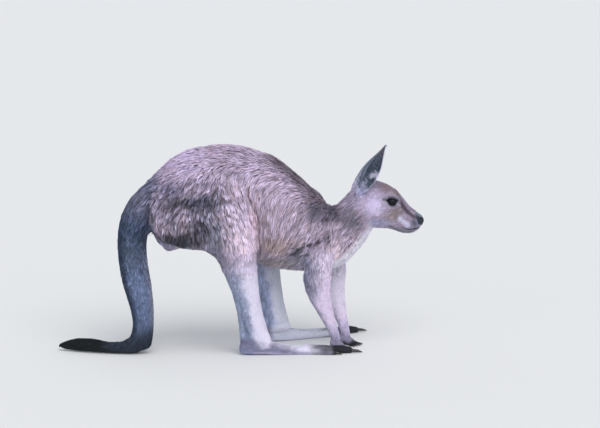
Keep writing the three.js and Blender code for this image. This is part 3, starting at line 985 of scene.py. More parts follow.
def markings(points, normals, parts, amount):
    """The coat's colour at each point of the skin, linear."""
    def on(*names):
        """How far each point belongs to the named parts."""
        return amount[:, [PARTS.index(name) for name in names]].sum(axis=1)

    leg, arm = on(*LEG_PARTS), on(*ARM_PARTS)
    paired = as_right(points, np.stack([leg, arm], axis=1))
    x, y, z = paired.T
    up, ahead = normals[:, 2], normals[:, 0]
    outside = smooth(normals[:, 1] * side_of(points), -0.3, 0.3)
    wander = ripple(points, 34, 5) * 4
    drift = paired + np.stack([wander, wander * 0, ripple(points, 30, 6) * 4], axis=1)

    # The trunk.
    colour = np.tile(LINEAR["side"], (len(points), 1))
    # The upward-facing back is lighter: partly its own colour and partly painted light from above.
    colour = paint(colour, ("back", smooth(up, 0.1, 0.7) * 0.9))
    colour = lay_marks(colour, BODY_MARKS, drift)
    for name, line, wide, strength in BODY_LINES:
        flat_side = smooth(y, 20, 60) if name != "ridge" else 1
        colour = paint(colour, (name, on_line(drift, line, wide) * strength * flat_side))
    bib = distance_to_line(drift[:, 0], drift[:, 2], np.array(WHITE_LINE, float))
    below = np.interp(x, [262, 300, 351, 384], [240, 262, 310, 350])
    colour = paint(
        colour,
        # The downward-facing belly is greyer: partly its own colour and partly painted shade under
        # the belly.
        ("belly_under", smooth(-up, 0.45, 0.9) * on("belly", "chest") * 0.85),
        ("white", (1 - smooth(bib, 22, 44)) * smooth(below + 34 - z, -14, 14)),
    )

    # The legs and hind feet.
    colour = lay_marks(colour, LEG_MARKS, drift, leg)
    lower = leg * (1 - smooth(z, 205, 335))
    place_on = across_limb(drift[:, 0], z, LEG_EDGES)
    # The rear of the lower leg is darker and bluer than its front: partly its own colour and
    # partly painted shade.
    rear = toned(z, [(190, "leg_back"), (270, "leg_high_back")])
    front = toned(z, [(190, "leg_front"), (300, "leg_high")])
    share = mix(smooth(place_on, 0.36, 0.76), smooth(place_on, 0.3, 0.68), outside)
    # Painted shade in the groove ahead of the heel's tendon.
    groove = np.exp(-((place_on - 0.24) / 0.07) ** 2) * (1 - smooth(z, 150, 190))
    tone = paint(mix(rear, front, share), ("leg_groove", groove * 0.8))
    # The inner side is lighter: partly the paler inner leg and partly painted light that makes up
    # for the shade that the other leg and the belly cast on it.
    tone = tone * (1.32 - 0.32 * outside)[:, None]
    tone = paint(tone, ("leg_inner", (1 - outside) * smooth(place_on, 0.4, 0.76)))
    colour = mix(colour, tone, lower)
    foot = on("hind_foot")
    inner_foot = foot * (1 - outside) * smooth(x, 5, 40) * (1 - smooth(x, 190, 245))
    reach = foot_reach(points, parts)
    colour = paint(
        colour,
        ("foot", foot * (1 - smooth(z + 0.3 * x, 46, 74))),
        # The inner foot is lighter in the same way: partly its own colour and partly painted
        # light.
        ("leg_inner", inner_foot * 0.95),
        ("heel", foot * blob(drift, (2, 84, 4), (30, 70, 24)) * 0.9),
        ("leg_front", foot * blob(drift, (56, 84, 40), (24, 70, 18)) * 0.85),
        ("wrist", foot * on_line(drift, [(34, 4), (180, 3)], 9) * 0.6),
        ("toe_grey", smooth(reach + wander * 2, 176, 232) * 0.9),
        ("black", smooth(reach + wander * 2, 230, 268) * 0.97),
    )

    # The arms and forepaws.
    place_on = across_limb(drift[:, 0], z, ARM_EDGES)
    low_arm = 1 - smooth(z, 120, 200)
    arm_front = mix(smooth(place_on, 0.12, 0.85), smooth(place_on, -0.15, 0.55), low_arm)
    tone = paint(
        np.tile(LINEAR["arm_back"], (len(points), 1)),
        ("arm_front", arm_front),
        ("white", (1 - outside) * 0.6 * smooth(z, 60, 140)),
        ("wrist", 1 - smooth(z, 46, 92)),
        ("paw", 1 - smooth(z, 16, 46)),
        ("black", 1 - smooth(z + wander, 3, 17)),
    )
    colour = mix(colour, tone, arm * (1 - smooth(z, 268, 316)))

    # The tail.
    tone = paint(
        toned(z, TAIL_TONES),
        ("tail_rear", smooth(-ahead, 0.3, 0.85) * (1 - 0.7 * smooth(z, 350, 400))),
        ("tail_front", smooth(ahead, 0.5, 0.95) * (1 - 0.7 * smooth(z, 240, 300))),
        # Painted shade under the tail's bend, near the floor.
        ("tail_bend", 1 - smooth(z - 0.35 * (x + 300), 34, 92)),
        ("tail_tip", 1 - smooth(x, -410, -345)),
    )
    tail = on(*TAIL_PARTS) * (1 - smooth(x, -268, -228) * smooth(z, 330, 420))
    colour = mix(colour, tone, tail)

    # The face.
    face = np.clip(on("head", "nose") * 1.3, 0, 1) * smooth(x + 0.4 * z, 490, 528)
    face_marks = paired + np.stack([wander, wander * 0, wander * 0.6], axis=1) * 0.3
    colour = paint(colour, ("temple", face))
    colour = lay_marks(colour, HEAD_MARKS, face_marks, face)
    flat_side = smooth(y, 4, 14)
    for name, line, wide, strength in HEAD_LINES:
        weight = on_line(face_marks, line, wide) * strength * face * flat_side
        colour = paint(colour, (name, weight))
    by_eye = (eye_distance(x, z) < 34) & (y > 16) & (face > 0)
    opening = eye_opening(x, z)
    corner = on_line(paired, [(402, 433), (416, 430)], 4.0)
    corner = np.maximum(corner, on_line(paired, [(441, 428), (448, 424)], 4.5))
    from_lips = distance_to_line(x, z, MOUTH)
    pad = nose_pad_mask(paired) * face
    colour = paint(
        colour,
        ("eye_ring", by_eye * smooth(opening, -16, -9) * 0.85),
        ("eye_halo", by_eye * smooth(opening, -8.5, -3) * 0.9),
        ("eye_halo", by_eye * corner * 0.8),
        ("eye_rim", by_eye * smooth(opening, -3.4, -1.7)),
        ("mouth", face * (1 - smooth(from_lips, 1.0, 3.0)) * smooth(x, 452, 470)),
        ("nose", pad),
        ("nostril", face * blob(paired, NOSTRIL, (9, 4.5, 5))),
        # A painted sheen on the wet pad's upper side.
        ("nose_top", pad * smooth(up, 0.25, 0.75) * 0.85),
        ("ear_foot", blob(paired, (338, 34, 457), (24, 30, 17)) * 0.95),
    )
    colour = ear_markings(colour, points, normals, is_part(parts, "ear"))

    # An unevenness over all of it, with the back a little darker and the underside a little
    # lighter, because the studio's light comes from above.
    mottled = 1 + 0.05 * ripple(points, 26, 43)
    streaky = points * [1.6, 1, 0.8]
    mottled += face * (0.05 * ripple(points, 12, 41) + 0.05 * ripple(streaky, 6, 42))
    lit = 1 - 0.18 * smooth(up, 0.2, 0.9) + 0.12 * smooth(-up, 0.0, 0.8)
    return colour * (mottled * lit)[:, None]


def nose_pad_mask(paired):
    """1 on the naked pad round the nostrils."""
    x, y, z = paired.T
    level = np.clip(z - 376, -30, 22)
    edge = 500 - 0.34 * level + 0.1 * y
    pad = smooth(x - edge, -2.5, 2.5) * smooth(z + 0.3 * (x - 515), 350, 356)
    return pad * (1 - smooth(z, 385, 392))


FOOT_TURN = {"right": 1, "left": 19}
HEEL = {"right": np.array([-12.0, -83.0]), "left": np.array([STRIDE - 12, 66.0])}


def foot_reach(points, parts):
    """How far each point of a hind foot is ahead of its heel (mm), and 0 elsewhere."""
    reach = np.zeros(len(points))
    for side, out in SIDES.items():
        turn = math.radians(out * FOOT_TURN[side])
        off = points[:, :2] - HEEL[side]
        ahead = off[:, 0] * math.cos(turn) + off[:, 1] * math.sin(turn)
        here = is_part(parts, "hind_foot") & (points[:, 1] * out > 0)
        reach = np.where(here, ahead, reach)
    return reach


def ear_place(points, normals, side):
    """On an ear: how far from base to tip, how far across from -1 to 1, and 1 on its outside."""
    own = from_head(points, side)
    f = (own[:, 2] + EAR_ROOT) / EAR_LENGTH
    centre = 4 * np.sin(math.pi * np.clip(f, 0, 1))
    across = np.arctan2(own[:, 1], -(own[:, 0] - centre))
    across = across / np.radians(leaf_roll(np.clip(f, 0, 1)))
    away = unit(np.stack([own[:, 0] - centre, own[:, 1]], axis=1))
    way = from_head(points + normals, side) - own
    return f, across, smooth((way[:, :2] * away).sum(axis=1), -0.2, 0.2)


def ear_lock(f, across):
    """1 on the pale lock that hangs from the front rim over the dark hollow."""
    lock = np.exp(-((f - 0.29 - 0.14 * across) / 0.042) ** 2) * smooth(across, 0.1, 0.3)
    return np.clip(lock * 1.5, 0, 1)


def ear_markings(colour, points, normals, ear):
    """The ears' colours: a pale grey back, a dark hollow, a pale front rim and lock."""
    uneven = 0.12 * ripple(points, 12, 9)
    blotches = (1 + 0.32 * ripple(points, 9, 12))[:, None]
    for side, out in SIDES.items():
        here = ear & (points[:, 1] * out > 0)
        f, across, outer = ear_place(points, normals, side)
        rear_edge = here * smooth(-across, 0.35, 0.8) * 0.8
        shade = paint(colour, ("ear_back", here * 1.0), ("ear_dark", rear_edge))
        # The inside is dark: partly its dark skin and partly painted shade in the hollow.
        inner = paint(shade, ("ear_dark", here * 1.0)) * blotches
        inner = paint(
            inner,
            ("ear_tip", here * smooth(f + uneven, 0.66, 0.9)),
            ("ear_foot", here * (1 - smooth(f + uneven, -0.04, 0.1))),
        )
        rim = smooth(np.abs(across), 0.88, 0.98) * (0.05 + 0.75 * smooth(across, 0, 0.5))
        rim = rim * smooth(f, 0.24, 0.4)
        lock = ear_lock(f + uneven * 0.2, across) * (1 - outer)
        shade = paint(
            mix(inner, shade, outer),
            ("ear_foot", here * (1 - smooth(f + uneven, 0, 0.2)) * (0.5 + 0.4 * outer)),
            ("ear_pale", here * np.maximum(rim, lock * 0.95)),
        )
        colour = np.where(here[:, None], shade, colour)
    return colour


# ---- The lie of the coat: a way along the skin at each point ----
# Each: where it is on the side of the animal (x, z) and which way the hair lies there (x, z).
BODY_LIE = [
    ((-235, 505), (-0.55, -0.8)), ((-205, 548), (-0.85, -0.35)), ((-120, 582), (-1, -0.05)),
    ((0, 592), (-1, 0.0)), ((100, 552), (-1, 0.3)), ((200, 465), (-0.8, 0.5)),
    ((-100, 545), (-0.9, -0.5)), ((0, 545), (-0.9, -0.35)), ((90, 510), (-1, -0.1)),
    ((-100, 500), (-0.3, -1)), ((-190, 480), (-0.35, -1)), ((-100, 420), (-0.1, -1)),
    ((-230, 390), (-0.3, -1)), ((-150, 340), (0.1, -1)), ((-15, 490), (0.6, -0.8)),
    ((10, 440), (0.4, -0.9)), ((60, 460), (-0.2, -1)), ((60, 400), (0.05, -1)),
    ((62, 320), (0.1, -1)), ((0, 350), (0.15, -1)), ((-60, 330), (0.25, -1)),
    ((130, 450), (-0.5, -0.85)), ((120, 380), (-0.4, -0.9)), ((180, 400), (-0.7, -0.7)),
    ((130, 290), (-0.65, -0.75)), ((178, 312), (-0.93, -0.37)), ((80, 262), (-0.4, -0.9)),
    ((150, 240), (-0.8, -0.4)), ((232, 335), (-0.35, -0.95)), ((235, 400), (-0.7, -0.7)),
    ((300, 400), (-0.75, -0.6)), ((260, 300), (-0.5, -0.85)), ((330, 310), (-0.7, -0.7)),
    ((290, 330), (-0.65, -0.75)), ((300, 445), (-0.75, -0.6)), ((262, 240), (-0.5, -0.6)),
]
HEAD_LIE = [
    ((515, 372), (-0.9, 0.3)), ((500, 340), (-1, 0.0)), ((500, 395), (-0.8, 0.6)),
    ((465, 430), (-0.75, 0.65)), ((440, 458), (-0.8, 0.6)), ((400, 484), (-1, 0.1)),
    ((365, 470), (-0.9, -0.3)), ((475, 375), (-1, 0.15)), ((450, 350), (-1, 0.0)),
    ((430, 385), (-1, -0.1)), ((430, 410), (-1, -0.15)), ((400, 430), (-1, 0.0)),
    ((405, 375), (-0.95, -0.3)), ((380, 400), (-0.9, -0.4)), ((380, 350), (-0.85, -0.5)),
    ((440, 338), (-1, 0.05)),
]


def combed(points, guides, reach):
    """The way the guides give, each weighing most near its own place, with no way across."""
    total = np.zeros((len(points), 2))
    for (x, z), way in guides:
        near = (points[:, 0] - x) ** 2 + (points[:, 2] - z) ** 2
        total += np.exp(-near / (2 * reach ** 2))[:, None] * unit(np.array(way, float))
        total += (1e-4 / (1 + near / reach ** 2))[:, None] * unit(np.array(way, float))
    total = unit(total)
    return np.stack([total[:, 0], np.zeros(len(points)), total[:, 1]], axis=1)


TAIL_LINE = np.array([
    [-214, 0, 445], [-256, 0, 420], [-283, -2, 395], [-300, -4, 372], [-308, -8, 345],
    [-311, -13, 300], [-307, -19, 250], [-297, -25, 192], [-286, -30, 135], [-281, -34, 84],
    [-288, -36, 38], [-322, -33, 17], [-370, -24, 15], [-423, -8, 19], [-470, 8, 19],
    [-504, 19, 15], [-530, 26, 13],
], float)


def along_tail(points):
    """The way along the tail's middle line, from its root to its tip."""
    way = np.zeros((len(points), 3))
    for start, end in zip(TAIL_LINE[:-1], TAIL_LINE[1:]):
        off = np.linalg.norm(points - (start + end) / 2, axis=1)
        way += np.exp(-(off / 45) ** 2)[:, None] * unit(end - start)
    return unit(way)


def lie_of_coat(points, normals, parts, limbs):
    """The way that the hair lies at each point, along the skin."""
    paired = as_right(points, limbs)
    way = combed(paired, BODY_LIE, 40)
    head = combed(paired, HEAD_LIE, 18)
    from_eye = points * [1, 0, 1] - EYE_CENTRE * [1, 0, 1]
    off = np.linalg.norm(from_eye, axis=1)
    round_eye = np.exp(-(off / 24) ** 2)[:, None]
    head = unit(head + round_eye * 0.9 * from_eye / np.maximum(off, 1)[:, None])
    on_face = smooth(paired[:, 0] + 0.4 * paired[:, 2], 500, 530)[:, None]
    way = np.where(is_part(parts, "head", "nose")[:, None], unit(mix(way, head, on_face)), way)
    down = np.array([-0.15, 0, -1.0])
    way = np.where(is_part(parts, "shin", "upper_arm", "forearm")[:, None], down, way)
    on_thigh = is_part(parts, "thigh")[:, None] * (1 - smooth(points[:, 2], 300, 380))[:, None]
    way = unit(way + on_thigh * down)
    way = np.where(is_part(parts, *TAIL_PARTS)[:, None], along_tail(points), way)
    for side, out in SIDES.items():
        here = points[:, 1] * out > 0
        for name, turn in (("hind_foot", FOOT_TURN[side]), ("forepaw", PAW_TURN[side])):
            turn = math.radians(out * turn)
            forward = np.array([math.cos(turn), math.sin(turn), -0.25])
            way = np.where((here & is_part(parts, name))[:, None], forward, way)
        up = set_on_head(np.array([[0, 0, 1.0]]), side) - set_on_head(np.zeros((1, 3)), side)
        f, over, outer = ear_place(points, normals, side)
        hanging = (smooth(ear_lock(f, over), 0.2, 0.5) * (1 - outer))[:, None]
        up = unit(mix(np.repeat(unit(up), len(points), axis=0), [[-0.8, 0, -0.6]], hanging))
        way = np.where((here & is_part(parts, "ear"))[:, None], up, way)
    turn = ripple(points, 60, 21) * 0.30 + ripple(points, 24, 22) * 0.20
    shaggy = smooth(-paired[:, 0], -20, 60) * is_part(parts, "rump", "thigh")
    shaggy = shaggy * smooth(paired[:, 2], 360, 420)
    turn += (ripple(points, 14, 24) * 0.6 + ripple(points, 9, 25) * 0.3) * shaggy
    calm = is_part(parts, "head", "nose", "ear", "hind_foot", "forepaw", "shin", "forearm")
    turn = np.where(calm, turn * 0.3, turn)
    way = way - normals * (way * normals).sum(axis=1, keepdims=True)
    way = unit(way)
    side_way = np.cross(normals, way)
    return unit(way * np.cos(turn)[:, None] + side_way * np.sin(turn)[:, None])


# ---- The skin's own attributes: its colour and how its short hair lies ----
place = points_of(skin.data)
links = edges_of(skin.data)
outward = normals_of(skin.data)
vertex_part = parts_at(place)
# The coat is shorter and smoother low on the thigh, and its tufts are shorter on the hip.
LOW_THIGH_COAT = {DEPTH: 2.8, LENGTH: 12.0, WIDTH: 1.8, CLUMPING: 0.3}
coat = spread_out(COAT_TABLE[vertex_part, :RELAXED], links, 30)
high_thigh = smooth(place[:, 2], 255, 380)
on_thigh = is_part(vertex_part, "thigh")
for column, low in LOW_THIGH_COAT.items():
    shorter = mix(low, coat[:, column], high_thigh)
    coat[:, column] = np.where(on_thigh, np.minimum(coat[:, column], shorter), coat[:, column])
on_hip = is_part(vertex_part, "rump", "thigh") * smooth(-place[:, 0], -10, 50)
on_hip = on_hip * smooth(place[:, 2], 330, 400)
coat[:, LENGTH] *= 1 - 0.3 * on_hip
coat[:, CLUMPING] *= 1 - 0.3 * on_hip * smooth(place[:, 2], 490, 530)
is_ear = is_part(vertex_part, "ear")
coat[is_ear] = COAT_TABLE[PARTS.index("ear"), :RELAXED]
amount = np.eye(len(PARTS))[vertex_part]
amount = spread_out(amount, links, 14, np.where(is_ear, 0.0, 0.5))
colour = markings(place, outward, vertex_part, amount)
colour = spread_out(colour, links, 1, np.where(is_part(vertex_part, "nose", "ear"), 0.0, 0.4))
limbs = limb_shares(vertex_part, links)
lie = lie_of_coat(place, outward, vertex_part, limbs)
lie = unit(spread_out(lie, links, 16, np.where(is_ear, 0.0, 0.5)))
lie = unit(lie - outward * (lie * outward).sum(axis=1, keepdims=True))


SKIN_TOP, TUFT_TOP = 0.92, 0.94  # the highest levels of the skin's and the tufts' colours
BARE_LIFT, HIDDEN_LIFT = 1.2, 0.66  # the skin's brightness where it shows, and under the coat, where it is darkened as painted shade from the tufts over it


def set_colours(mesh, colours):
    """Gives a mesh its colours, within what a real coat reflects."""
    painted = mesh.color_attributes.new("coat_colour", "FLOAT_COLOR", "POINT")
    full = np.ones((len(colours), 4), np.float32)
    full[:, :3] = np.clip(colours, 0.003, 0.95)
    painted.data.foreach_set("color", full.ravel())


lift = mix(BARE_LIFT, HIDDEN_LIFT, smooth(coat[:, DEPTH], 1.8, 7))
set_colours(skin.data, capped(colour * lift[:, None], SKIN_TOP))
paired = as_right(place, limbs)
naked = nose_pad_mask(paired) * is_part(vertex_part, "head", "nose")
bare = skin.data.attributes.new("naked", "FLOAT", "POINT")
bare.data.foreach_set("value", naked.astype(np.float32))
way_of = skin.data.attributes.new("lie", "FLOAT_VECTOR", "POINT")
way_of.data.foreach_set("vector", lie.astype(np.float32).ravel())

# ---- Tufts ----
COAT_LIFT = 1.2  # makes up for what the coat's own shadows take off its colour
DENSITY = 1.45  # tufts tried for each square of the spacing
LEAST_GAP = 0.72  # of the spacing: one tuft at most is kept in each cube of this size
ROOT_DEPTH = 0.8  # how far a tuft's root is sunk into the skin
draw = np.random.default_rng(41)
corners = np.empty(len(skin.data.polygons) * 3, np.int32)
skin.data.polygons.foreach_get("vertices", corners)
corners = corners.reshape(-1, 3)
skin_tree = BVHTree.FromPolygons(to_frame(place).tolist(), corners.tolist())


def bare_places():
    """1 where no hair grows: eyes, nose pad, mouth, soles and the roots of claws."""
    x, y, z = paired.T
    near = (eye_distance(x, z) < 26) & (y > 18)
    bare = near & (eye_opening(x, z) > -2.4) & is_part(vertex_part, "head")
    bare |= naked > 0.3
    lips = (distance_to_line(x, z, MOUTH) < 1.6) & (x > 452)
    bare |= lips & is_part(vertex_part, "head", "nose")
    sole = (outward[:, 2] < -0.35) & (z < 14)
    bare |= sole & is_part(vertex_part, "hind_foot", "forepaw", "tail_end")
    return bare


EDGE = bare_places()


def grow_roots():
    """Places for tufts all over the skin: a face and the shares of its three corners."""
    a, b, c = (place[corners[:, k]] for k in range(3))
    area = np.linalg.norm(np.cross(b - a, c - a), axis=1) / 2
    spacing = coat[corners, SPACING].mean(axis=1)
    wanted = area / spacing ** 2 * DENSITY
    wanted[EDGE[corners].any(axis=1)] = 0
    count = np.floor(wanted + draw.random(len(wanted))).astype(int)
    face = np.repeat(np.arange(len(corners)), count)
    u, v = draw.random(len(face)), draw.random(len(face))
    over = u + v > 1
    u, v = np.where(over, 1 - u, u), np.where(over, 1 - v, v)
    share = np.stack([1 - u - v, u, v], axis=1)
    where = (place[corners[face]] * share[:, :, None]).sum(axis=1)
    cell = np.floor(where / (spacing[face] * LEAST_GAP)[:, None]).astype(int)
    _, first = np.unique(cell, axis=0, return_index=True)
    first = np.sort(first)
    return face[first], share[first]


def on_skin(points):
    """The nearest place of the skin and its normal."""
    near, way = np.empty_like(points), np.empty_like(points)
    for i, p in enumerate(to_frame(points).tolist()):
        hit, normal, _, _ = skin_tree.find_nearest(p)
        near[i], way[i] = hit, normal
    return to_animal(near), way


face, share = grow_roots()


def at_roots(values):
    """A value of each vertex of the skin, between its corners at each root."""
    picked = values[corners[face]]
    if values.ndim == 1:
        return (picked * share).sum(axis=1)
    return (picked * share[:, :, None]).sum(axis=1)


root = at_roots(place)
normal = unit(at_roots(outward))
way = unit(at_roots(lie))
depth, length, width, spacing, clumping = at_roots(coat).T
root_part = vertex_part[corners[face, 0]]


def nearest_of(points, places):
    """For each place, the number of the nearest of some points."""
    tree = KDTree(len(points))
    for i, point in enumerate(points.tolist()):
        tree.insert(point, i)
    tree.balance()
    return np.array([tree.find(spot)[1] for spot in places.tolist()])


# Tufts in a clump lean towards the tip of the one that leads it.
cell = np.floor(root / (spacing * (1.6 + 1.9 * clumping))[:, None] + 0.37).astype(int)
_, leads = np.unique(cell, axis=0, return_index=True)
leader = leads[nearest_of(root[leads], root)]
leader_off = np.linalg.norm(root - root[leader], axis=1)
clumping = np.where(leader_off < spacing * 4, clumping, 0)

swing = draw.normal(size=len(root)) * 0.10
across = np.cross(normal, way)
way = unit(way * np.cos(swing)[:, None] + across * np.sin(swing)[:, None])
length = length * draw.uniform(0.78, 1.15, len(root))
# Longer tufts on the ears' pale locks and round their feet, shorter ones on their tips.
pale_lock = np.zeros(len(root))
for side, out in SIDES.items():
    here = is_part(root_part, "ear") & (root[:, 1] * out > 0)
    f, over, outer = ear_place(root, normal, side)
    lock = smooth(ear_lock(f, over), 0.3, 0.6) * (1 - outer)
    foot = (1 - smooth(f, 0.05, 0.2)) * 0.9
    pale_lock = np.where(here, np.maximum(lock, foot), pale_lock)
    length = np.where(here, length * (1 - 0.6 * smooth(f, 0.8, 0.97)), length)
near_ear = blob(root, (336, 34, 456), (19, 30, 15)) * is_part(root_part, "head")
length = length * (1 + 1.5 * pale_lock + 1.0 * near_ear)
depth = depth * (1 + 2.0 * pale_lock + 1.0 * near_ear)
# Locks: a shade that is carried along the lie of the hair from tuft to tuft.
before = nearest_of(root, root - way * 6)
streak = draw.normal(size=len(root))
for _ in range(2):
    streak = (streak + streak[before]) / 2
    before = before[before]
streak = np.clip(streak / streak.std(), -2.2, 2.2)
shaggy = smooth(clumping, 0.48, 0.68)
choppy = at_roots(on_hip) * shaggy * (1 - smooth(root[:, 2], 490, 530))
fold = ripple(root * [0.55, 0.6, 1.5], 27, 8)
heart = np.exp(-(leader_off / (spacing * 1.4)) ** 2)
rise = depth * draw.uniform(0.5, 1.0, len(root)) ** 0.8
rise = rise * mix(1, np.minimum(0.5 + 0.65 * heart, 1.05), clumping) * (1 - 0.2 * shaggy)
rise = rise * (1 + 0.2 * shaggy * fold) * (1 + 0.14 * streak * smooth(depth, 1, 6))
middle, middle_normal = on_skin(root + way * (length * 0.5)[:, None])
# A tuft shows its outer half, so its colour is the marking's colour there.
root_colour = markings(middle, middle_normal, root_part, at_roots(amount))
tip, tip_normal = on_skin(root + way * length[:, None])
middle = middle + middle_normal * (rise * 0.8)[:, None]
tip = tip + tip_normal * rise[:, None]
middle = mix(middle, middle[leader], clumping * 0.35)
tip = mix(tip, tip[leader], clumping * 0.8)
wave = ripple(root, 17, 33) * length * 0.10 * np.clip(clumping * 1.6, 0.1, 1)
middle = middle + across * wave[:, None]
clump_shade = np.exp(draw.normal(size=len(root))[leader] * (
    0.04 + 0.22 * clumping + 0.15 * choppy))
own_shade = np.exp(draw.normal(size=len(root)) * (0.13 - 0.05 * smooth(depth, 1.5, 5)))
hue = np.clip(draw.normal(size=(len(root), 1)), -2, 2)
hue = (hue + 0.6 * np.clip(draw.normal(size=(len(root), 1)), -2, 2)[leader]) * (
    np.array([[0.028, 0.0, -0.034]]) * mix(0.4, 1.0, smooth(depth, 1.5, 6))[:, None])
# Tufts far from the heart of their clump are darker, as painted shade in the gaps between clumps.
# The folds' crests are lighter and their troughs darker, as painted light and shade.
deep = 1 - (0.42 + 0.2 * choppy) * clumping * (1 - heart)
tone = own_shade * clump_shade * deep * (1 + 0.13 * shaggy * fold)
tone *= np.exp(streak * (0.06 + 0.16 * smooth(depth, 2, 7)))
tuft_colour = root_colour * (tone * COAT_LIFT)[:, None] * (1 + hue)
# How much painted shade darkens a tuft's root: more between the clumps of a shaggy coat.
root_dark = mix(0.5, 1.1, smooth(clumping, 0.3, 0.68))

UV_PATCH = 0.003
# The rings of a tuft: how far along it they are, how wide and how light. The darker rings at the
# root are painted shade from the tufts round them.
FULL_STAGES = [(0.0, 0.75, 0.45), (0.36, 1.0, 0.86), (0.72, 0.72, 1.06)]
SHORT_STAGES = [(0.0, 0.85, 0.6), (0.5, 1.0, 0.96)]
TIP_LIGHT = 1.2
WHOLE = ("",)
# Each coat piece: the parts it grows on, the rings of its tufts, its sides, and the axis
# that its skin is unrolled from.
COAT_PIECES = {
    "coat_rump": (("rump",), FULL_STAGES, SIDES, ((-240, 0, 420), (-90, 0, 445))),
    "coat_belly": (("belly",), FULL_STAGES, SIDES, ((-95, 0, 445), (110, 0, 395))),
    "coat_chest": (("chest",), FULL_STAGES, SIDES, ((100, 0, 395), (270, 0, 320))),
    "coat_thigh": (("thigh",), FULL_STAGES, SIDES, ((-90, 85, 560), (0, 96, 260))),
    "coat_neck": (("neck",), FULL_STAGES, WHOLE, ((255, 0, 315), (365, 0, 405))),
    "coat_head": (("head", "nose"), SHORT_STAGES, WHOLE, ((345, 0, 410), (530, 0, 355))),
    "coat_ear": (("ear",), SHORT_STAGES, SIDES, ((330, 31, 450), (440, 60, 600))),
    "coat_leg": (("shin", "hind_foot"), SHORT_STAGES, SIDES, ((-10, 95, 290), (50, 83, 0))),
    "coat_arm": (ARM_PARTS, SHORT_STAGES, SIDES, ((215, 55, 360), (275, 48, 0))),
    "coat_tail_upper": (TAIL_PARTS[:2], SHORT_STAGES, WHOLE, ((-260, -5, 420), (-300, -25, 160))),
    "coat_tail_lower": (TAIL_PARTS[2:], SHORT_STAGES, WHOLE, ((-290, -25, 170), (-400, 0, 0))),
}


def unrolled(points, axis):
    """Where each root is on its skin unrolled round an axis, from 0 to 1 both ways."""
    start, end = (np.array(p, float) for p in axis)
    forward = unit(end - start)
    across = unit(np.cross(forward, [0.0, 1.0, 0.0]))
    up = np.cross(across, forward)
    off = points - start
    along = off @ forward
    turn = np.arctan2(off @ across, off @ up) / (2 * math.pi) + 0.5
    low, high = along.min(), along.max()
    return np.stack([turn, (along - low) / max(high - low, 1e-6)], axis=1) * 0.98 + 0.01


def tuft_mesh(name, chosen, stages, axis):
    """One mesh of tufts, each a bent tapering spike of three sides, closed at its root."""
    p0 = root[chosen] - normal[chosen] * ROOT_DEPTH
    p2, mid = tip[chosen], middle[chosen]
    bend = 2 * mid - (p0 + p2) / 2
    count, rings = len(chosen), len(stages)
    points = np.empty((count, rings * 3 + 1, 3))
    shade = np.empty((count, rings * 3 + 1))
    for r, (t, wide, tone) in enumerate(stages):
        at = (1 - t) ** 2 * p0 + 2 * t * (1 - t) * bend + t * t * p2
        ahead = unit(2 * (1 - t) * (bend - p0) + 2 * t * (p2 - bend))
        side_way = unit(np.cross(ahead, normal[chosen]))
        lift = np.cross(side_way, ahead)
        half = (width[chosen] * wide / 2)[:, None]
        points[:, r * 3] = at - side_way * half
        points[:, r * 3 + 1] = at + side_way * half
        points[:, r * 3 + 2] = at + lift * half * 0.65
        dark = 1 - (1 - tone) * root_dark[chosen] if tone < 1 else np.full(count, tone)
        shade[:, r * 3:r * 3 + 3] = dark[:, None]
    points[:, -1] = p2
    shade[:, -1] = TIP_LIGHT
    points[:, :, 2] = np.maximum(points[:, :, 2], TUFT_CLEARANCE)
    faces = []
    for r in range(rings - 1):
        for k in range(3):
            n = (k + 1) % 3
            a, b = r * 3 + k, r * 3 + n
            faces += [(a, a + 3, b), (b, a + 3, b + 3)]
    last = (rings - 1) * 3
    faces += [(last + k, rings * 3, last + (k + 1) % 3) for k in range(3)]
    faces += [(0, 1, 2)]
    faces = np.array(faces)
    sample = points[0]
    centre = sample.mean(axis=0)
    volume = sum(np.dot(sample[a] - centre, np.cross(sample[b] - centre, sample[c] - centre))
                 for a, b, c in faces)
    if volume < 0:
        faces = faces[:, ::-1]
    patch = [(k / 2 - 0.5, r / rings - 0.5) for r in range(rings) for k in range(3)]
    patch = np.array(patch + [(0, 0.5)])
    all_faces = (faces[None] + (np.arange(count) * (rings * 3 + 1))[:, None, None]).reshape(-1)
    mesh = bpy.data.meshes.new(name)
    mesh.vertices.add(count * (rings * 3 + 1))
    mesh.vertices.foreach_set("co", to_frame(points.reshape(-1, 3)).astype(np.float32).ravel())
    mesh.loops.add(len(all_faces))
    mesh.loops.foreach_set("vertex_index", all_faces.astype(np.int32))
    mesh.polygons.add(len(all_faces) // 3)
    mesh.polygons.foreach_set("loop_start", np.arange(0, len(all_faces), 3, dtype=np.int32))
    mesh.update(calc_edges=True)
    tones = tuft_colour[chosen][:, None, :] * shade[:, :, None]
    set_colours(mesh, capped(tones.reshape(-1, 3), TUFT_TOP))
    # The two edges along a tuft's underside are sharp.
    pairs = edges_of(mesh) % (rings * 3 + 1)
    column = np.where(pairs == rings * 3, -1, pairs % 3)
    lengthwise = (column[:, 0] == column[:, 1]) | (column == -1).any(axis=1)
    under = (column < 2).all(axis=1) & lengthwise
    sharp = mesh.attributes.new("sharp_edge", "BOOLEAN", "EDGE")
    sharp.data.foreach_set("value", under)
    spot = unrolled(root[chosen], axis)[:, None, :] + patch[None] * UV_PATCH
    uv = mesh.uv_layers.new(name="OFBake")
    uv.data.foreach_set(
        "uv", np.clip(spot.reshape(-1, 2)[all_faces], 0, 1).astype(np.float32).ravel())
    mesh.shade_smooth()
    return put_in_scene(name, mesh)


coats = []
for name, (parts, stages, sides, axis) in COAT_PIECES.items():
    for side in sides:
        here, line, full_name = is_part(root_part, *parts), axis, name
        if side:
            here &= root[:, 1] * SIDES[side] >= 0
            line = [(x, y * SIDES[side], z) for x, y, z in axis]
            full_name += "_" + side
        coats.append(tuft_mesh(full_name, np.nonzero(here)[0], stages, line))

# ---- Eyes: a ball each, with a bulge in front ----
CORNEA = 0.055  # how far the front bulges, as a share of the radius


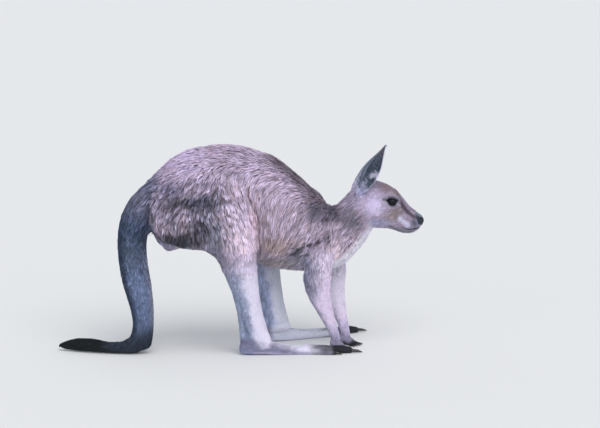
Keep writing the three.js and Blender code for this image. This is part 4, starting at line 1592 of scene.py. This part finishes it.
def make_eye(side):
    """An eyeball that looks to its side, with a value that grows from its pupil outwards."""
    out = SIDES[side]
    bpy.ops.mesh.primitive_uv_sphere_add(segments=64, ring_count=48, radius=EYE_RADIUS / 1000)
    eye = bpy.context.active_object
    eye.name = "eyeball_" + side
    local = np.array([v.co[:] for v in eye.data.vertices]) * 1000
    look = unit(np.array([0.22, 1.0 * out, 0.04]))
    turn = Vector((0, 0, 1)).rotation_difference(Vector(look)).to_matrix()
    axis_angle = np.degrees(np.arccos(np.clip(local[:, 2] / EYE_RADIUS, -1, 1)))
    local = local * (1 + CORNEA * (1 - smooth(axis_angle, 22, 50)))[:, None]
    ring = eye.data.attributes.new("ring", "FLOAT", "POINT")
    flat = np.hypot(local[:, 0] * 0.8, local[:, 1] * 1.25)
    back = np.where(axis_angle > 100, 2.0, 0).astype(np.float32)
    ring.data.foreach_set("value", np.maximum(flat / EYE_RADIUS, back).astype(np.float32))
    set_points(eye.data, local @ np.array(turn).T + EYE_CENTRE * [1, out, 1])
    eye.data.shade_smooth()
    return eye


eyes = {side: make_eye(side) for side in SIDES}

# ---- Claws: each node smoothed to a round, hooked nail ----
CLAW_ROOT = 5.0  # how far each nail's root goes on into its toe


def rooted(claw):
    """Draws the root of a nail back into its toe, along the nail."""
    shape = points_of(claw.data)
    off = shape - shape.mean(axis=0)
    forward = unit(off[np.linalg.norm(off, axis=1).argmax()])
    along = off @ forward
    back = CLAW_ROOT * smooth(-along, 0, -along.min())
    set_points(claw.data, shape - forward * back[:, None])


claws = []
for node in [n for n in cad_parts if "claw" in n]:
    claw = merged_copy(node, "nail_" + node.replace("claw_", ""))
    apply_modifier(claw, "SUBSURF", levels=2, render_levels=2)
    rooted(claw)
    claw.data.shade_smooth()
    claws.append((node, claw))

# ---- Materials ----


def set_sockets(node, values):
    """Gives a node's sockets their values."""
    for socket, value in values.items():
        node.inputs[socket].default_value = value


def new_material(name, values):
    """A material, its node tree and its shader, with the values of the shader's sockets."""
    material = bpy.data.materials.new(name)
    material.use_nodes = True
    tree = material.node_tree
    set_sockets(tree.nodes["Principled BSDF"], values)
    return material, tree, tree.nodes["Principled BSDF"]


def add_node(tree, kind, sockets=None, **settings):
    """A node with its settings and the values of its sockets."""
    made = tree.nodes.new(kind)
    for key, value in settings.items():
        setattr(made, key, value)
    set_sockets(made, sockets or {})
    return made


def wire(tree, *links):
    """Links nodes: each link is a node, its output, the next node and its input."""
    for giver, output, taker, entry in links:
        tree.links.new(giver.outputs[output], taker.inputs[entry])


def fur_grain_group():
    """Fine streaks along the lie of the hair: a shade from 0 to 1."""
    group = bpy.data.node_groups.new("fur_grain", "ShaderNodeTree")
    for name, kind in (("Way", "NodeSocketVector"), ("Size", "NodeSocketFloat")):
        group.interface.new_socket(name=name, in_out="INPUT", socket_type=kind)
    group.interface.new_socket(name="Shade", in_out="OUTPUT", socket_type="NodeSocketFloat")
    given = add_node(group, "NodeGroupInput")
    out = add_node(group, "NodeGroupOutput")
    spot = add_node(group, "ShaderNodeTexCoord")
    dot = add_node(group, "ShaderNodeVectorMath", operation="DOT_PRODUCT")
    along = add_node(group, "ShaderNodeVectorMath", operation="SCALE")
    stretch = add_node(group, "ShaderNodeMath", {1: 0.86}, operation="MULTIPLY")
    squeeze = add_node(group, "ShaderNodeVectorMath", operation="SUBTRACT")
    noise = add_node(group, "ShaderNodeTexNoise", {"Detail": 2.0})
    wire(
        group,
        (spot, "Object", dot, 0),
        (given, "Way", dot, 1),
        (dot, "Value", stretch, 0),
        (given, "Way", along, 0),
        (stretch, "Value", along, "Scale"),
        (spot, "Object", squeeze, 0),
        (along, "Vector", squeeze, 1),
        (squeeze, "Vector", noise, "Vector"),
        (given, "Size", noise, "Scale"),
        (noise, "Fac", out, "Shade"),
    )
    return group


FUR_GRAIN = fur_grain_group()


def tint(tree, shader, shade_node, output, darkest, lightest):
    """The coat's colour, made darker and lighter by a node's shade, as the base colour."""
    colour = add_node(tree, "ShaderNodeAttribute", attribute_name="coat_colour")
    bounds = {"From Min": 0.3, "From Max": 0.7, "To Min": darkest, "To Max": lightest}
    level = add_node(tree, "ShaderNodeMapRange", bounds)
    scale = add_node(tree, "ShaderNodeVectorMath", operation="SCALE")
    wire(
        tree,
        (shade_node, output, level, "Value"),
        (colour, "Color", scale, 0),
        (level, "Result", scale, "Scale"),
        (scale, "Vector", shader, "Base Color"),
    )


def coat_material():
    """The tufts' hair: each tuft's own colour with a fine unevenness."""
    material, tree, shader = new_material(
        "coat_hair", {"Roughness": 0.72, "Specular IOR Level": 0.25})
    spot = add_node(tree, "ShaderNodeTexCoord")
    noise = add_node(tree, "ShaderNodeTexNoise", {"Scale": 900.0})
    wire(tree, (spot, "Object", noise, "Vector"))
    tint(tree, shader, noise, "Fac", 0.86, 1.12)
    return material


def skin_material():
    """Short hair that lies along the skin, and pebbled bare skin on the nose pad."""
    material, tree, shader = new_material("short_fur_skin", {"Specular IOR Level": 0.3})
    lie_way = add_node(tree, "ShaderNodeAttribute", attribute_name="lie")
    bare_skin = add_node(tree, "ShaderNodeAttribute", attribute_name="naked")
    grain = add_node(tree, "ShaderNodeGroup", {"Size": 1100.0}, node_tree=FUR_GRAIN)
    spot = add_node(tree, "ShaderNodeTexCoord")
    pebbles = add_node(tree, "ShaderNodeTexVoronoi", {"Scale": 700.0})
    height = add_node(tree, "ShaderNodeMix", data_type="FLOAT")
    bump = add_node(tree, "ShaderNodeBump", {"Strength": 0.5, "Distance": 0.0008})
    rough = add_node(tree, "ShaderNodeMapRange", {"To Min": 0.78, "To Max": 0.36})
    wire(
        tree,
        (lie_way, "Vector", grain, "Way"),
        (spot, "Object", pebbles, "Vector"),
        (bare_skin, "Fac", height, "Factor"),
        (grain, "Shade", height, "A"),
        (pebbles, "Distance", height, "B"),
        (height, "Result", bump, "Height"),
        (bump, "Normal", shader, "Normal"),
        (bare_skin, "Fac", rough, "Value"),
        (rough, "Result", shader, "Roughness"),
    )
    tint(tree, shader, grain, "Shade", 0.72, 1.2)
    return material


def fill_ramp(ramp, stops):
    """Gives a colour ramp its colours, each with its place from 0 to 1."""
    elements = ramp.color_ramp.elements
    for element, (at, tone) in zip(elements, (stops[0], stops[-1])):
        element.position = at
        element.color = (*srgb(*tone), 1)
    for at, tone in stops[1:-1]:
        elements.new(at).color = (*srgb(*tone), 1)


def eye_material():
    """A wet dark eye with a faint lighter ring round its pupil."""
    material, tree, shader = new_material(
        "dark_eye", {"Roughness": 0.1, "Specular IOR Level": 0.25})
    ring = add_node(tree, "ShaderNodeAttribute", attribute_name="ring")
    ramp = add_node(tree, "ShaderNodeValToRGB")
    fill_ramp(ramp, [
        (0.0, (5, 9, 22)), (0.40, (6, 11, 26)), (0.47, (13, 16, 24)), (0.62, (20, 21, 28)),
        (0.72, (8, 11, 17)), (0.82, (34, 36, 44)), (1.0, (56, 56, 64)),
    ])
    wire(tree, (ring, "Fac", ramp, "Fac"), (ramp, "Color", shader, "Base Color"))
    return material


def claw_material():
    """Black horn with fine streaks along the nail."""
    material, tree, shader = new_material("black_horn", {"Roughness": 0.38})
    spot = add_node(tree, "ShaderNodeTexCoord")
    spread = add_node(tree, "ShaderNodeMapping", {"Scale": (60, 900, 900)})
    noise = add_node(tree, "ShaderNodeTexNoise", {"Scale": 1.0})
    ramp = add_node(tree, "ShaderNodeValToRGB")
    fill_ramp(ramp, [(0.0, (24, 22, 24)), (1.0, (66, 60, 62))])
    bump = add_node(tree, "ShaderNodeBump", {"Strength": 0.3, "Distance": 0.0004})
    wire(
        tree,
        (spot, "Object", spread, "Vector"),
        (spread, "Vector", noise, "Vector"),
        (noise, "Fac", ramp, "Fac"),
        (ramp, "Color", shader, "Base Color"),
        (noise, "Fac", bump, "Height"),
        (bump, "Normal", shader, "Normal"),
    )
    return material


def dress(piece, material):
    """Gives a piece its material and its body."""
    piece.data.materials.clear()
    piece.data.materials.append(material)
    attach(piece, "root")


COAT_HAIR = coat_material()
dress(skin, skin_material())
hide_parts(*FLESH)
for piece in coats:
    dress(piece, COAT_HAIR)
DARK_EYE = eye_material()
for side, eye in eyes.items():
    dress(eye, DARK_EYE)
    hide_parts("eye_" + side)
BLACK_HORN = claw_material()
for node, claw in claws:
    dress(claw, BLACK_HORN)
    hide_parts(node)

# ---- Floor, light and camera ----
bpy.ops.mesh.primitive_plane_add(size=160, location=(0, 0, 0))
floor = bpy.context.active_object
floor.name = "pale_floor"
floor_paint = new_material("pale_floor", {
    "Base Color": (0.78, 0.79, 0.80, 1), "Roughness": 0.9, "Specular IOR Level": 0.1,
})[0]
floor.data.materials.append(floor_paint)
floor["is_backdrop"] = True

scene = bpy.context.scene
world = bpy.data.worlds.new("studio")
scene.world = world
world.use_nodes = True
sky = world.node_tree.nodes["Background"]
set_sockets(sky, {"Color": (0.93, 0.96, 1.0, 1), "Strength": 0.62})


def add_sun(name, towards, strength, spread, tint):
    """A light from far off: which way it shines, how strong and how soft it is."""
    light = bpy.data.lights.new(name, "SUN")
    light.energy = strength
    light.angle = math.radians(spread)
    light.color = tint
    lamp = bpy.data.objects.new(name, light)
    scene.collection.objects.link(lamp)
    lamp.rotation_euler = Vector(towards).to_track_quat("-Z", "Y").to_euler()


add_sun("key", (-0.2, 0.62, -0.9), 1.45, 50, (1.0, 0.98, 0.96))
add_sun("fill", (0.45, 0.8, -0.3), 0.4, 70, (0.96, 0.97, 1.0))
add_sun("low_fill", (-0.6, 0.75, -0.12), 0.45, 60, (0.97, 0.97, 1.0))

CAMERA_TURN = math.radians(-6)
CAMERA_DROP = math.radians(9)
CAMERA_PLACE = (-0.40257, -5.44166, 1.25105)
camera = bpy.data.cameras.new("camera")
camera.lens = 115.8
camera.sensor_width = 36
camera.clip_start = 0.05
camera.clip_end = 200
viewer = bpy.data.objects.new("camera", camera)
scene.collection.objects.link(viewer)
viewer.location = CAMERA_PLACE
viewer.rotation_euler = (math.pi / 2 - CAMERA_DROP, 0, CAMERA_TURN)
scene.camera = viewer
scene.view_settings.view_transform = "Standard"

low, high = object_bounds()
